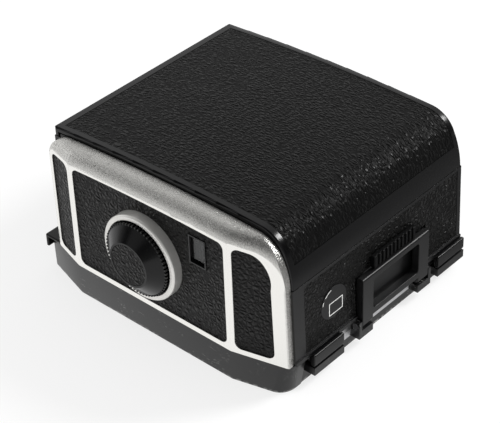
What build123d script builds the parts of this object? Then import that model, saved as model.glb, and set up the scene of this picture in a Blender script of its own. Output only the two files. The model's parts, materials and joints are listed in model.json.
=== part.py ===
from build123d import *
import math
import os

# Roll-film magazine of a medium format camera, lying on its mating face.
# Lengths are in millimetres. The origin is the centre of the light opening on the
# mating face. +Z points to the back cover, +X to the wall with the release lever,
# and the winding knob faces -Y. Near means the knob side and far the side opposite.

os.makedirs("parts", exist_ok=True)

# Closed outline seen from the knob side
body_length = 104.1
cover_width = 88.0
cover_height = 61.6
cover_depth = 19.6
base_height = 12.0
cover_left_drop = 2.3
shoulder_run = 12.8
shoulder_drop = 0.4
cheek_run = 3.5
cheek_drop = 6.4
cheek_slope = 27.0
wall_lean = 1.55

# Bulge of the near side with its three facets, seen from above
facet_bulge = 7.5
left_facet_length = 14.0
right_facet_length = 20.1
left_facet_slope = 0.29
right_facet_slope = 0.257

# Back cover
cover_wall = 1.6
cover_gap = 0.3
cover_side_gap = 0.2
cover_lip = 2.7
cover_skin_depth = 11.6
cover_flange_depth = 3.0
leather_recess = 0.5
leather_thickness = 0.45
label_near_post = 5.2
label_far_post = 2.0
label_top_band = 1.4
fold_gap = 0.05
cover_edge_radius = 0.6

# Cover hinge and hooks
hinge_out = 1.75
hinge_drop = 7.0
hinge_radius = 1.6
hinge_pin_radius = 0.8
hinge_knuckle_start = 18.0
hinge_knuckle_length = 12.0
hinge_end_length = 5.5
hook_thickness = 1.6
hook_width = 8.0
hook_spacing = 30.0
hook_centre_y = 5.0
hook_drop = 3.5
hook_reach = 99.8

# Running fit and free gaps
running_fit = 0.05
moving_gap = 0.3

# Casing
casing_wall = 2.2
bulge_wall = 1.5
far_wall = 1.8
rim_width = 4.0
casing_opening_depth = 11.6
ledge_height = 1.4
ledge_out = 0.5
boss_radius = 3.6
boss_height = 9.0
screw_inset_x = 5.6
screw_inset_y = 4.4
screw_radius = 1.0
screw_head_radius = 2.0
screw_length = 16.0
screw_head_height = 1.0

# Satin side trim and its leather panels
trim_thickness = 1.0
trim_drop = 1.9
trim_end_in = 0.8
trim_corner_radius = 8.0
rail_radius = 5.0
rail_overrun = 2.5
panel_top_in = 7.3
panel_right_in = 5.6
panel_left_in = 2.2
panel_bottom = 14.0
far_panel_in = 4.5
divider_width = 3.0
panel_corner_radius = 2.5
panel_recess = 0.35

# Base frame
base_left_out = 6.0
base_floor = 4.8
base_wall = 4.0
base_notch_in = 1.8
base_corner_radius = 5.0
base_far_radius = 1.5
base_end_in = 1.4
base_end_out = 0.8
base_edge_radius = 0.4
base_floor_margin = 2.0
base_far_margin = 6.0
light_opening_x = 56.0
light_opening_y = 60.0
tab_low = 4.5
tab_high = 7.5
tab_out = 4.7

# Dark slide and its slot
slide_width = 62.0
slide_thickness = 0.8
slide_slot_gap = 0.2
slide_start_y = -33.0
slide_handle_length = 9.0
slide_handle_width = 40.0
slide_handle_thickness = 2.2

# Film carrier
gate_length = 41.5
gate_width = 56.0
gate_plate_length = 72.0
gate_plate_gap = 1.4
gate_plate_thickness = 1.6
gate_plate_margin = 1.0
rail_height = 0.5
film_rail_width = 1.6
spool_play = 0.4
side_plate_thickness = 1.7
side_plate_length = 76.0
side_plate_drop = 11.6
spool_axis_height = 33.7
spool_flange_radius = 12.5
spool_flange_thickness = 1.4
spool_core_radius = 5.5
spool_length = 65.8
spool_bore_radius = 2.9
spool_bore_depth = 4.0
paper_slot_width = 1.5
paper_slot_length = 54.0
roller_offset = 31.0
roller_radius = 4.0
roller_pin_radius = 1.5
roller_edge = 0.5
tie_rod_radius = 1.8
tie_rod_drop = 5.0
pressure_plate_length = 50.0
pressure_plate_gap = 1.8
pressure_plate_thickness = 1.2
bridge_width = 18.0
bridge_thickness = 1.5
bridge_height = 16.0
leaf_thickness = 0.4
leaf_width = 6.0
leaf_reach = 18.0

# Spool pivots
pivot_head_radius = 4.5
pivot_head_thickness = 2.0
pivot_reach = 2.6
pivot_fit = 0.08
key_width = 1.6
key_half_length = 3.9
key_reach = 2.6

# Winding knob on the near side
knob_offset = -4.2
knob_ring_radius = 15.8
knob_ring_wall = 1.9
knob_ring_height = 3.4
knob_ring_floor = 1.0
knob_ring_edge = 0.8
knob_rim_radius = 13.5
knob_rim_height = 4.6
knob_face_radius = 8.3
knob_height = 8.1
knob_leather_radius = 7.6
knob_teeth = 60
knob_tooth_depth = 0.6
knob_shaft_radius = 3.0
knob_bearing_radius = 4.5

# Gears
drive_teeth = 28
drive_module = 1.0
drive_gear_y = -41.5
drive_gear_thickness = 2.5
counter_module = 0.5
pinion_teeth = 12
idler_teeth = 36
dial_teeth = 48
gear_thickness = 1.5
tooth_share = 0.40
take_up_shaft_radius = 2.5

# Frame counter
window_centre_x = 19.15
window_drop = 15.9
window_width = 6.0
window_height = 10.0
window_frame = 0.6
window_glass = 1.0
dial_radius = 12.8
dial_thickness = 0.8
dial_number_radius = 9.8
dial_angle = -134.5
stud_radius = 1.5
dial_back_gap = 0.6

# Release lever and the hardware along the foot of the label wall
lever_centre_y = 5.25
lever_width = 35.5
lever_leg = 5.5
lever_thickness = 3.0
lever_front_out = 2.95
lever_top = 28.2
lever_bar_low = 11.0
lever_window_low = 13.5
lever_window_high = 25.8
lever_window_radius = 1.2
pin_height = 9.9
pin_radius = 0.8
ear_thickness = 1.4
pocket_depth = 0.85
pocket_margin = 1.0
lever_top_edge = 0.8
pin_depth = 4.0
pin_head = 0.5
pin_head_radius = 1.2
claw_top_edge = 0.5
claw_width = 15.0
near_claw_y = -29.6
far_claw_y = 36.4
claw_low = 8.0
claw_high = 12.8
claw_plate_low = 10.9
claw_lip = 2.0
claw_side_gap = 2.0
bar_low = 7.8
bar_high = 10.6
bar_thickness = 1.3
bar_travel = 3.0
bar_end_gap = 1.0
keeper_thickness = 0.9
lug_low = 8.0
lug_high = 13.2
lug_width = 7.5
lug_out = 7.2
lug_side_out = 3.5
seal_width = 3.0
seal_height = 1.2
seal_y = 39.0

# Cover catch on the label wall
catch_low = 28.8
catch_high = 33.4
catch_width = 22.0
catch_out = 1.7
catch_ribs = 11
catch_rib_depth = 0.6
catch_slot_height = 1.8
catch_stem_length = 10.0
catch_travel = 4.0
catch_plate_thickness = 1.2

# Format disc
disc_centre_y = -24.5
disc_centre_z = 26.0
disc_radius = 6.3
disc_thickness = 0.6

# Places that follow from the sizes
left_x = -body_length / 2
right_x = body_length / 2
near_y = -cover_width / 2
cover_joint_height = cover_height - cover_depth
cover_skin_end = cover_height - cover_skin_depth
casing_opening_height = cover_height - casing_opening_depth
window_centre_z = cover_height - window_drop
hook_tip_height = cover_joint_height - hook_drop
side_plate_top = cover_height - side_plate_drop
tie_rod_height = side_plate_top - tie_rod_drop
carrier_inner_width = spool_length + 2 * spool_play
pressure_plate_width = carrier_inner_width - 2 * pressure_plate_gap
far_y = cover_width / 2
bulge_y = near_y - facet_bulge
crown_x = left_x + 0.45 * body_length
left_crease = left_x + left_facet_length
right_crease = right_x - right_facet_length
lean_height = cover_joint_height - base_height
label_face_x = right_x + wall_lean * lean_height / (cover_joint_height + base_height)
notch_x = right_x - base_notch_in
pin_x = right_x + lever_front_out - lever_thickness / 2
lever_back_x = right_x + lever_front_out - lever_thickness
lever_low_y = lever_centre_y - lever_width / 2
lever_high_y = lever_centre_y + lever_width / 2
pocket_x = right_x - pocket_depth
slide_low = base_floor + slide_slot_gap
gate_low = base_floor + gate_plate_gap
gate_high = gate_low + gate_plate_thickness
film_height = gate_high + rail_height
plate_in = carrier_inner_width / 2
plate_out = plate_in + side_plate_thickness
hinge_x = left_x - hinge_out
hinge_z = cover_height - hinge_drop
flange_bottom = cover_height - cover_left_drop - cover_flange_depth
drive_radius = drive_teeth * drive_module / 2
pinion_radius = pinion_teeth * counter_module / 2
idler_radius = idler_teeth * counter_module / 2
dial_gear_radius = dial_teeth * counter_module / 2
take_up_x = knob_offset + 2 * drive_radius
supply_x = -take_up_x
casing_face_y = bulge_y + trim_thickness
casing_inner_y = casing_face_y + bulge_wall
screw_taper = math.degrees(math.atan((screw_head_radius - screw_radius) / screw_head_height))


def block(x, y, z, mode=Mode.ADD):
    """Box between two corners, given as a (low, high) pair along each axis."""
    with Locations((x[0], y[0], z[0])):
        Box(x[1] - x[0], y[1] - y[0], z[1] - z[0], align=(Align.MIN,) * 3, mode=mode)


def rod(x, z, radius, y, mode=Mode.ADD):
    """Round bar along Y between two (low, high) ends."""
    with Locations((x, y[0], z)):
        Cylinder(
            radius,
            y[1] - y[0],
            rotation=(-90, 0, 0),
            align=(Align.CENTER, Align.CENTER, Align.MIN),
            mode=mode,
        )


def across(y):
    """Plane square to the spool axes, facing the knob side."""
    return Plane.XZ.offset(-y)


def circle_through(first, second, third):
    """Centre and radius of the circle through three points."""
    ax, az = first
    bx, bz = second
    cx, cz = third
    turn = 2 * (ax * (bz - cz) + bx * (cz - az) + cx * (az - bz))
    sums = [x**2 + z**2 for x, z in (first, second, third)]
    centre_x = (sums[0] * (bz - cz) + sums[1] * (cz - az) + sums[2] * (az - bz)) / turn
    centre_z = (sums[0] * (cx - bx) + sums[1] * (ax - cx) + sums[2] * (bx - ax)) / turn
    return centre_x, centre_z, math.dist((centre_x, centre_z), first)


crown_centre_x, crown_centre_z, crown_radius = circle_through(
    (left_x, cover_height - cover_left_drop),
    (crown_x, cover_height),
    (right_x - shoulder_run, cover_height - shoulder_drop),
)


def crown_point(x, top_in):
    """Point of the crown at x, lowered by top_in."""
    rise = math.sqrt(crown_radius**2 - (x - crown_centre_x) ** 2)
    return x, crown_centre_z + rise - top_in


def outline(plane, left_in, top_in, right_in, limits=None, corner=0.0):
    """Side view of the closed body, shrunk at its left, top and right."""
    slope = math.radians(cheek_slope)
    cheek_top = (
        right_x - cheek_run - right_in * math.cos(slope),
        cover_height - cheek_drop - top_in * math.sin(slope),
    )
    with BuildSketch(plane) as view:
        with BuildLine():
            crown = ThreePointArc(
                crown_point(left_x + left_in, top_in),
                crown_point(crown_x, top_in),
                crown_point(right_x - shoulder_run, top_in),
            )
            shoulder = TangentArc(crown @ 1, cheek_top, tangent=crown % 1)
            cheek = TangentArc(
                shoulder @ 1, (right_x - right_in, cover_joint_height), tangent=shoulder % 1
            )
            wall = Line(cheek @ 1, (right_x - right_in + wall_lean, -base_height))
            Polyline(wall @ 1, (left_x + left_in, -base_height), crown @ 0)
        make_face()
        if limits:
            low_x, high_x, low_z = limits
            with Locations(((low_x + high_x) / 2, low_z)):
                Rectangle(
                    high_x - low_x,
                    cover_height,
                    align=(Align.CENTER, Align.MIN),
                    mode=Mode.INTERSECT,
                )
            near_limit = 0.01
            corners = [
                point
                for point in vertices()
                if min(abs(point.X - low_x), abs(point.X - high_x), abs(point.Y - low_z)) < near_limit
            ]
            fillet(corners, corner)
        elif corner:
            fillet(vertices().sort_by(Axis.X)[:2].sort_by(Axis.Y)[-1], corner)
    return view.sketch


def facet_roll(view, facet, radius):
    """Body behind one facet, with the rounded rail along the edge of that facet."""
    with BuildPart() as roll:
        extrude(view, amount=cover_width)
        split(bisect_by=facet, keep=Keep.BOTTOM)
        facet_face = roll.faces().sort_by(lambda face: face.normal_at().dot(facet.z_dir))[-1]
        fillet(facet_face.edges().sort_by(Axis.Z)[1:], radius)
    return roll.part


def side_block(inset):
    """Bulge of the near side with its rounded top rail, shrunk by inset outside."""
    top_in = trim_drop + inset
    end_in = trim_end_in + inset
    out = bulge_y + inset
    view = outline(across(near_y), inset, top_in, end_in, corner=trim_corner_radius)
    long_view = outline(
        across(near_y + 2 * rail_radius),
        inset - rail_overrun,
        top_in,
        end_in - rail_overrun,
        corner=trim_corner_radius,
    )
    facets = (
        Plane(origin=(left_crease, out, 0), x_dir=(0, 0, 1), z_dir=(-left_facet_slope, -1, 0)),
        Plane(origin=(right_crease, out, 0), x_dir=(0, 0, 1), z_dir=(right_facet_slope, -1, 0)),
        Plane(origin=(0, out, 0), x_dir=(0, 0, 1), z_dir=(0, -1, 0)),
    )
    rolls = [facet_roll(long_view, facet, rail_radius - inset) for facet in facets]
    with BuildPart() as bulge:
        extrude(view, amount=cover_width)
        for roll in rolls:
            add(roll, mode=Mode.INTERSECT)
        split(bisect_by=Plane.XY.offset(base_height), keep=Keep.TOP)
    return bulge.part


def body_prism(left_in, top_in, right_in, half_width):
    """The side view carried across the body to both sides."""
    view = outline(Plane.XZ, left_in, top_in, right_in)
    with BuildPart() as prism:
        extrude(view, amount=half_width, both=True)
    return prism.part


def window_prism(name, shrink):
    """Prism through the near facets that holds one leather panel."""
    half_divider = divider_width / 2
    ranges = {
        "left": (left_x + panel_left_in, left_crease - half_divider),
        "centre": (left_crease + half_divider, right_crease - half_divider),
        "right": (right_crease + half_divider, right_x + base_height),
    }
    low_x, high_x = ranges[name]
    view = outline(
        across(near_y),
        0,
        panel_top_in + shrink,
        panel_right_in + shrink,
        limits=(low_x + shrink, high_x - shrink, panel_bottom + shrink),
        corner=panel_corner_radius,
    )
    with BuildPart() as prism:
        extrude(view, amount=2 * facet_bulge)
    return prism.part


def gear_view(plane, centre, teeth, module, facing):
    """Spur gear profile with one tooth pointing along the angle facing."""
    pitch_radius = teeth * module / 2
    root = pitch_radius - 1.2 * module
    tip = pitch_radius + 0.85 * module
    half_tooth = tooth_share * math.pi * module / 2
    flank = math.tan(math.radians(20))
    half_root = half_tooth + flank * (pitch_radius - root)
    half_tip = half_tooth - flank * (tip - pitch_radius)
    sunk = root - 0.2 * module
    with BuildSketch(plane) as view:
        with Locations(centre):
            Circle(root)
            with PolarLocations(0, teeth, start_angle=facing):
                Polygon(
                    (sunk, -half_root),
                    (root, -half_root),
                    (tip, -half_tip),
                    (tip, half_tip),
                    (root, half_root),
                    (sunk, half_root),
                    align=None,
                )
    return view.sketch


def gear(y_low, thickness, centre, teeth, module, facing):
    """Solid spur gear from y_low towards +Y."""
    view = gear_view(across(y_low + thickness), centre, teeth, module, facing)
    with BuildPart() as wheel:
        extrude(view, amount=thickness)
    return wheel.part


def angle_between(start, end):
    """Direction from one axis to another, in degrees, seen from the knob side."""
    return math.degrees(math.atan2(end[1] - start[1], end[0] - start[0]))


def third_axis(first, second, first_distance, second_distance):
    """Axis at two given distances from two others, on the lower side of their line."""
    span = math.dist(first, second)
    along = (first_distance**2 - second_distance**2 + span**2) / (2 * span)
    aside = math.sqrt(first_distance**2 - along**2)
    direction = ((second[0] - first[0]) / span, (second[1] - first[1]) / span)
    return (
        first[0] + along * direction[0] + aside * direction[1],
        first[1] + along * direction[1] - aside * direction[0],
    )


# Axes seen from the knob side, as (x, z)
knob_axis = (knob_offset, spool_axis_height)
take_up_axis = (take_up_x, spool_axis_height)
supply_axis = (supply_x, spool_axis_height)
dial_axis = (
    window_centre_x + dial_number_radius * math.cos(math.radians(dial_angle)),
    window_centre_z + dial_number_radius * math.sin(math.radians(dial_angle)),
)
idler_axis = third_axis(
    dial_axis, take_up_axis, pinion_radius + dial_gear_radius, pinion_radius + idler_radius
)

# Layers of the counter train, from the near wall inwards
dial_y = casing_inner_y + dial_back_gap
dial_gear_y = dial_y + dial_thickness
pinion_y = dial_gear_y + gear_thickness + dial_back_gap

# Base frame
screw_places = [
    (x, y)
    for x in (left_x + screw_inset_x, notch_x - boss_radius)
    for y in (near_y + screw_inset_y, 0, far_y - screw_inset_y)
]


def base_section(height, right_reach, corner):
    """Outline of the base frame at one height."""
    with BuildSketch(Plane.XY.offset(height)) as section:
        with BuildLine():
            left = left_x - base_left_out
            right = right_x + right_reach
            left_y = bulge_y + (left_facet_length + base_left_out) * left_facet_slope
            right_y = bulge_y + (right_facet_length + right_reach) * right_facet_slope
            Polyline(
                (left, left_y),
                (left_crease, bulge_y),
                (right_crease, bulge_y),
                (right, right_y),
                (right, far_y),
                (left, far_y),
                close=True,
            )
        make_face()
        fillet(vertices().group_by(Axis.X)[0], corner / 2)
        near_corner, far_corner = vertices().group_by(Axis.X)[-1].sort_by(Axis.Y)
        fillet(near_corner, corner)
        fillet(far_corner, base_far_radius)
    return section.sketch


hardware_low_y = near_claw_y - claw_width / 2 - claw_side_gap
hardware_high_y = far_claw_y + claw_width / 2 + moving_gap
tab_ranges = (
    (near_claw_y - claw_width / 2, near_claw_y + claw_width / 2),
    (lever_low_y - ear_thickness - moving_gap, lever_low_y + lever_leg),
    (lever_high_y - lever_leg, lever_high_y + ear_thickness + moving_gap),
    (far_claw_y - claw_width / 2, far_claw_y + claw_width / 2),
)
ear_ranges = (
    (lever_low_y - ear_thickness - moving_gap, lever_low_y - moving_gap),
    (lever_high_y + moving_gap, lever_high_y + ear_thickness + moving_gap),
)
lug_ranges = (
    (near_y - lug_side_out, near_y - lug_side_out + lug_width),
    (far_y - lug_width, far_y),
)
ear_inner_x = notch_x + bar_thickness + 2 * moving_gap
tab_x = right_x + tab_out - base_notch_in

with BuildPart() as base_frame:
    loft([
        base_section(0, -base_end_in, base_corner_radius + base_end_in),
        base_section(base_height, base_end_out, base_corner_radius),
    ])
    fillet(base_frame.faces().sort_by(Axis.Z)[0].edges(), base_edge_radius)
    block(
        (left_x + base_wall, notch_x - base_wall),
        (near_y + base_floor_margin, far_y - base_far_margin),
        (base_floor, base_height),
        mode=Mode.SUBTRACT,
    )
    block(
        (-light_opening_x / 2, light_opening_x / 2),
        (-light_opening_y / 2, light_opening_y / 2),
        (0, base_height),
        mode=Mode.SUBTRACT,
    )
    block(
        (-slide_width / 2 - moving_gap, slide_width / 2 + moving_gap),
        (0, far_y + 2 * facet_bulge),
        (base_floor, base_floor + gate_plate_gap),
        mode=Mode.SUBTRACT,
    )
    block(
        (notch_x, right_x + 2 * base_left_out),
        (hardware_low_y, hardware_high_y),
        (0, base_height),
        mode=Mode.SUBTRACT,
    )
    for tab_range in tab_ranges:
        block((notch_x - 1, tab_x), tab_range, (tab_low, tab_high))
    block(
        (-slide_width / 2, slide_width / 2),
        (seal_y, seal_y + seal_width),
        (base_floor, base_floor + gate_plate_gap + seal_height),
        mode=Mode.SUBTRACT,
    )
    with BuildSketch(Plane.XY.offset(base_floor)):
        with Locations(*screw_places):
            Circle(boss_radius)
    extrude(amount=base_height - base_floor)
    for ear_range in ear_ranges:
        block(
            (ear_inner_x, pin_x + lever_thickness / 2),
            ear_range,
            (tab_high, pin_height + lever_thickness / 2),
        )
        rod(pin_x, pin_height, pin_radius + running_fit, ear_range, mode=Mode.SUBTRACT)
    with BuildSketch():
        with Locations(*screw_places):
            Circle(screw_radius)
    extrude(amount=base_height, mode=Mode.SUBTRACT)
    with BuildSketch():
        with Locations(*screw_places):
            Circle(screw_head_radius)
    extrude(amount=screw_head_height, taper=screw_taper, mode=Mode.SUBTRACT)
base_frame.part.label = "base_frame"
export_step(base_frame.part, "parts/base_frame.step")

# Casing, the die-cast shell between the base frame and the cover
casing_bulge = side_block(trim_thickness)
casing_hollow = side_block(trim_thickness + bulge_wall)
lip_in = cover_wall + cover_gap
inner_in = lip_in + casing_wall
catch_low_y = lever_centre_y - catch_width / 2
stem_low_y = lever_centre_y - catch_stem_length / 2 - catch_travel / 2
catch_mid_z = (catch_low + catch_high) / 2

hinge_knuckle_end = hinge_knuckle_start + hinge_knuckle_length
cover_knuckles = (
    (-hinge_knuckle_end, -hinge_knuckle_start),
    (hinge_knuckle_start, hinge_knuckle_end),
)
casing_knuckles = (
    (-hinge_knuckle_end - moving_gap - hinge_end_length, -hinge_knuckle_end - moving_gap),
    (-hinge_knuckle_start + moving_gap, hinge_knuckle_start - moving_gap),
    (hinge_knuckle_end + moving_gap, hinge_knuckle_end + moving_gap + hinge_end_length),
)
label_leather_y = (near_y + label_near_post, far_y - label_far_post)
label_leather_z = (panel_bottom, cover_joint_height - label_top_band)
hinge_leather_z = (panel_bottom, hinge_z - 2 * hinge_radius)


def skin_block(x, y, z, shrink):
    """Block that bounds a leather skin, shrunk by the fold gap where asked."""
    with BuildPart() as bounds:
        block(
            (x[0] + shrink, x[1] - shrink),
            (y[0] + shrink, y[1] - shrink),
            (z[0] + shrink, z[1] - shrink),
        )
    return bounds.part


def skin(bounds, inner_in, outer_in):
    """Leather between two shrunk copies of the body, inside a bounding block."""
    outer_body = body_prism(outer_in, outer_in, outer_in, cover_width)
    inner_body = body_prism(inner_in, inner_in, inner_in, cover_width)
    with BuildPart() as sheet:
        add(bounds)
        add(outer_body, mode=Mode.INTERSECT)
        add(inner_body, mode=Mode.SUBTRACT)
    return sheet.part


def far_panel(shrink, outer_in, inner_in):
    """Leather panel of the flat far wall, between two depths under its face."""
    view = outline(
        across(far_y - outer_in),
        0,
        far_panel_in + shrink,
        far_panel_in + shrink,
        limits=(left_x + far_panel_in + shrink, right_x + base_height, panel_bottom + shrink),
        corner=panel_corner_radius,
    )
    with BuildPart() as panel:
        extrude(view, amount=inner_in - outer_in)
    return panel.part


label_x = (right_x - facet_bulge, right_x + facet_bulge)
hinge_wall_x = (left_x - facet_bulge, left_x + facet_bulge)
hinge_leather_y = (near_y + label_far_post, far_y - label_far_post)
skin_outer = leather_recess - leather_thickness
label_recess = skin(skin_block(label_x, label_leather_y, label_leather_z, 0), leather_recess, 0)
hinge_wall_recess = skin(
    skin_block(hinge_wall_x, hinge_leather_y, hinge_leather_z, 0), leather_recess, 0
)

with BuildPart() as cavity:
    add(body_prism(inner_in, inner_in, inner_in, cover_width / 2))
    split(bisect_by=across(far_y - far_wall), keep=Keep.TOP)

with BuildPart() as casing:
    add(body_prism(0, 0, 0, cover_width / 2))
    split(bisect_by=Plane.XY.offset(cover_joint_height - cover_gap), keep=Keep.BOTTOM)
    add(body_prism(0, lip_in, lip_in, cover_width / 2))
    split(bisect_by=Plane.XY.offset(base_height), keep=Keep.TOP)
    block(
        (left_x - 1, left_x + cover_flange_depth),
        (near_y, far_y),
        (flange_bottom - cover_gap, cover_height),
        mode=Mode.SUBTRACT,
    )
    add(casing_bulge)
    add(cavity.part, mode=Mode.SUBTRACT)
    add(casing_hollow, mode=Mode.SUBTRACT)
    block(
        (left_x + inner_in, right_x),
        (near_y + rim_width, far_y - rim_width),
        (casing_opening_height, cover_height),
        mode=Mode.SUBTRACT,
    )
    # Ledge along the foot of the label wall, and the pocket behind the lever
    block(
        (right_x - 1, label_face_x + ledge_out),
        (near_y, far_y),
        (base_height, base_height + ledge_height),
    )
    block(
        (pocket_x, right_x + 2 * facet_bulge),
        (lever_low_y - pocket_margin, lever_high_y + pocket_margin),
        (base_height, lever_top + moving_gap),
        mode=Mode.SUBTRACT,
    )
    # Slot for the stem of the cover catch
    block(
        (right_x - 2 * inner_in, right_x + 2 * facet_bulge),
        (stem_low_y - moving_gap, stem_low_y + catch_stem_length + catch_travel + moving_gap),
        (catch_mid_z - catch_slot_height / 2, catch_mid_z + catch_slot_height / 2),
        mode=Mode.SUBTRACT,
    )
    # Screw bosses
    with BuildSketch(Plane.XY.offset(base_height)):
        with Locations(*screw_places):
            Circle(boss_radius)
    extrude(amount=boss_height)
    with BuildSketch(Plane.XY.offset(base_height)):
        with Locations(*screw_places):
            Circle(screw_radius)
    extrude(amount=boss_height, mode=Mode.SUBTRACT)
    # Openings in the near wall: knob bearing and counter window
    rod(*knob_axis, knob_bearing_radius, (bulge_y - 1, near_y), mode=Mode.SUBTRACT)
    block(
        (window_centre_x - window_width / 2, window_centre_x + window_width / 2),
        (bulge_y - 1, near_y),
        (window_centre_z - window_height / 2, window_centre_z + window_height / 2),
        mode=Mode.SUBTRACT,
    )
    add(label_recess, mode=Mode.SUBTRACT)
    add(hinge_wall_recess, mode=Mode.SUBTRACT)
    add(far_panel(0, 0, leather_recess), mode=Mode.SUBTRACT)
    # Fixed knuckles of the cover hinge
    for knuckle in casing_knuckles:
        rod(hinge_x, hinge_z, hinge_radius, knuckle)
        block((hinge_x, left_x + 1), knuckle, (hinge_z - hinge_radius, hinge_z + hinge_radius / 2))
    rod(hinge_x, hinge_z, hinge_pin_radius, (near_y, far_y), mode=Mode.SUBTRACT)
casing.part.label = "casing"
export_step(casing.part, "parts/casing.step")

# Back cover with its hinge knuckles
cover_bounds = skin_block(
    (left_x + cover_lip, right_x + facet_bulge),
    (near_y + cover_lip, far_y - cover_lip),
    (cover_skin_end, cover_height + facet_bulge),
    0,
)
cover_recess = skin(cover_bounds, leather_recess, 0)

with BuildPart() as back_cover:
    add(body_prism(0, 0, 0, cover_width / 2 - cover_side_gap))
    for side_face in (back_cover.faces().sort_by(Axis.Y)[0], back_cover.faces().sort_by(Axis.Y)[-1]):
        fillet(side_face.edges().sort_by(Axis.Z)[1:], cover_edge_radius)
    add(body_prism(cover_wall, cover_wall, cover_wall, cover_width), mode=Mode.SUBTRACT)
    split(bisect_by=Plane.XY.offset(cover_joint_height), keep=Keep.TOP)
    block(
        (left_x - 1, left_x + 2 * cover_wall),
        (near_y, far_y),
        (cover_joint_height, flange_bottom),
        mode=Mode.SUBTRACT,
    )
    add(cover_recess, mode=Mode.SUBTRACT)
    for knuckle in cover_knuckles:
        rod(hinge_x, hinge_z, hinge_radius, knuckle)
        with BuildSketch(across(knuckle[1])):
            with BuildLine():
                Polyline(
                    (hinge_x - hinge_radius, hinge_z),
                    (hinge_x - hinge_radius, flange_bottom),
                    (left_x + cover_wall / 2, flange_bottom + cover_flange_depth / 2),
                    (left_x + cover_wall / 2, flange_bottom),
                    (left_x - cover_gap, flange_bottom),
                    (left_x - cover_gap, hinge_z),
                    close=True,
                )
            make_face()
        extrude(amount=hinge_knuckle_length)
    rod(hinge_x, hinge_z, hinge_pin_radius + running_fit, (near_y, far_y), mode=Mode.SUBTRACT)
back_cover.part.label = "back_cover"
export_step(back_cover.part, "parts/back_cover.step")

with BuildPart() as cover_leather:
    add(skin(
        skin_block(
            (left_x + cover_lip, right_x + facet_bulge),
            (near_y + cover_lip, far_y - cover_lip),
            (cover_skin_end, cover_height + facet_bulge),
            fold_gap,
        ),
        leather_recess,
        skin_outer,
    ))
cover_leather.part.label = "cover_leather"
export_step(cover_leather.part, "parts/cover_leather.step")

with BuildPart() as cover_hinge_pin:
    rod(hinge_x, hinge_z, hinge_pin_radius, (casing_knuckles[0][0], casing_knuckles[2][1]))
cover_hinge_pin.part.label = "cover_hinge_pin"
export_step(cover_hinge_pin.part, "parts/cover_hinge_pin.step")

# Hooks inside the curved end of the cover, short enough to swing past the casing lip
hook_outer_x = hinge_x + math.sqrt(hook_reach**2 - (hinge_z - hook_tip_height) ** 2)
hook_centres = (hook_centre_y - hook_spacing / 2, hook_centre_y + hook_spacing / 2)
cover_inner_body = body_prism(cover_wall, cover_wall, cover_wall, cover_width / 2)

with BuildPart() as cover_hooks:
    for centre in hook_centres:
        block(
            (hook_outer_x - hook_thickness, hook_outer_x),
            (centre - hook_width / 2, centre + hook_width / 2),
            (hook_tip_height, cover_height),
        )
    add(cover_inner_body, mode=Mode.INTERSECT)
cover_hooks.part.label = "cover_hooks"
export_step(cover_hooks.part, "parts/cover_hooks.step")

# Satin side trim
trim_outer = side_block(0)
panel_names = ("left", "centre", "right")
trim_windows = [window_prism(name, 0) for name in panel_names]

with BuildPart() as near_trim:
    add(trim_outer)
    add(casing_bulge, mode=Mode.SUBTRACT)
    for window in trim_windows:
        add(window, mode=Mode.SUBTRACT)
near_trim.part.label = "near_trim"
export_step(near_trim.part, "parts/near_trim.step")

# Leather panels of the near side, with room for the knob ring and the window frame
panel_outer = side_block(panel_recess)
frame_outer_x = window_width / 2 + window_frame
frame_outer_z = window_height / 2 + window_frame
for name in panel_names:
    panel_bounds = window_prism(name, fold_gap)
    with BuildPart() as near_leather:
        add(panel_outer)
        add(panel_bounds, mode=Mode.INTERSECT)
        add(casing_bulge, mode=Mode.SUBTRACT)
        rod(*knob_axis, knob_ring_radius + fold_gap, (bulge_y - 1, near_y), mode=Mode.SUBTRACT)
        block(
            (window_centre_x - frame_outer_x, window_centre_x + frame_outer_x),
            (bulge_y - 1, near_y),
            (window_centre_z - frame_outer_z, window_centre_z + frame_outer_z),
            mode=Mode.SUBTRACT,
        )
    near_leather.part.label = f"near_leather_{name}"
    export_step(near_leather.part, f"parts/near_leather_{name}.step")

with BuildPart() as far_leather:
    add(far_panel(fold_gap, skin_outer, leather_recess))
far_leather.part.label = "far_leather"
export_step(far_leather.part, "parts/far_leather.step")

# Leather of the label wall and of the hinge wall
with BuildPart() as label_leather:
    add(skin(skin_block(label_x, label_leather_y, label_leather_z, fold_gap), leather_recess, skin_outer))
    block(
        label_x,
        (lever_low_y - pocket_margin - fold_gap, lever_high_y + pocket_margin + fold_gap),
        (base_height, lever_top + moving_gap + fold_gap),
        mode=Mode.SUBTRACT,
    )
    block(
        label_x,
        (stem_low_y - moving_gap, stem_low_y + catch_stem_length + catch_travel + moving_gap),
        (catch_mid_z - catch_slot_height / 2, catch_mid_z + catch_slot_height / 2),
        mode=Mode.SUBTRACT,
    )
    with BuildSketch(Plane.YZ):
        with Locations((disc_centre_y, disc_centre_z)):
            Circle(disc_radius + fold_gap)
    extrude(amount=body_length, mode=Mode.SUBTRACT)
label_leather.part.label = "label_leather"
export_step(label_leather.part, "parts/label_leather.step")

with BuildPart() as hinge_wall_leather:
    add(skin(
        skin_block(hinge_wall_x, hinge_leather_y, hinge_leather_z, fold_gap), leather_recess, skin_outer
    ))
hinge_wall_leather.part.label = "hinge_wall_leather"
export_step(hinge_wall_leather.part, "parts/hinge_wall_leather.step")

recessed_body = body_prism(leather_recess, leather_recess, leather_recess, cover_width)
disc_face_x = label_face_x + (right_x - label_face_x) * (disc_centre_z - base_height) / lean_height
with BuildPart() as format_disc:
    with BuildSketch(Plane.YZ.offset(disc_face_x - disc_thickness)):
        with Locations((disc_centre_y, disc_centre_z)):
            Circle(disc_radius)
    extrude(amount=disc_thickness)
    add(recessed_body, mode=Mode.SUBTRACT)
format_disc.part.label = "format_disc"
export_step(format_disc.part, "parts/format_disc.step")

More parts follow.
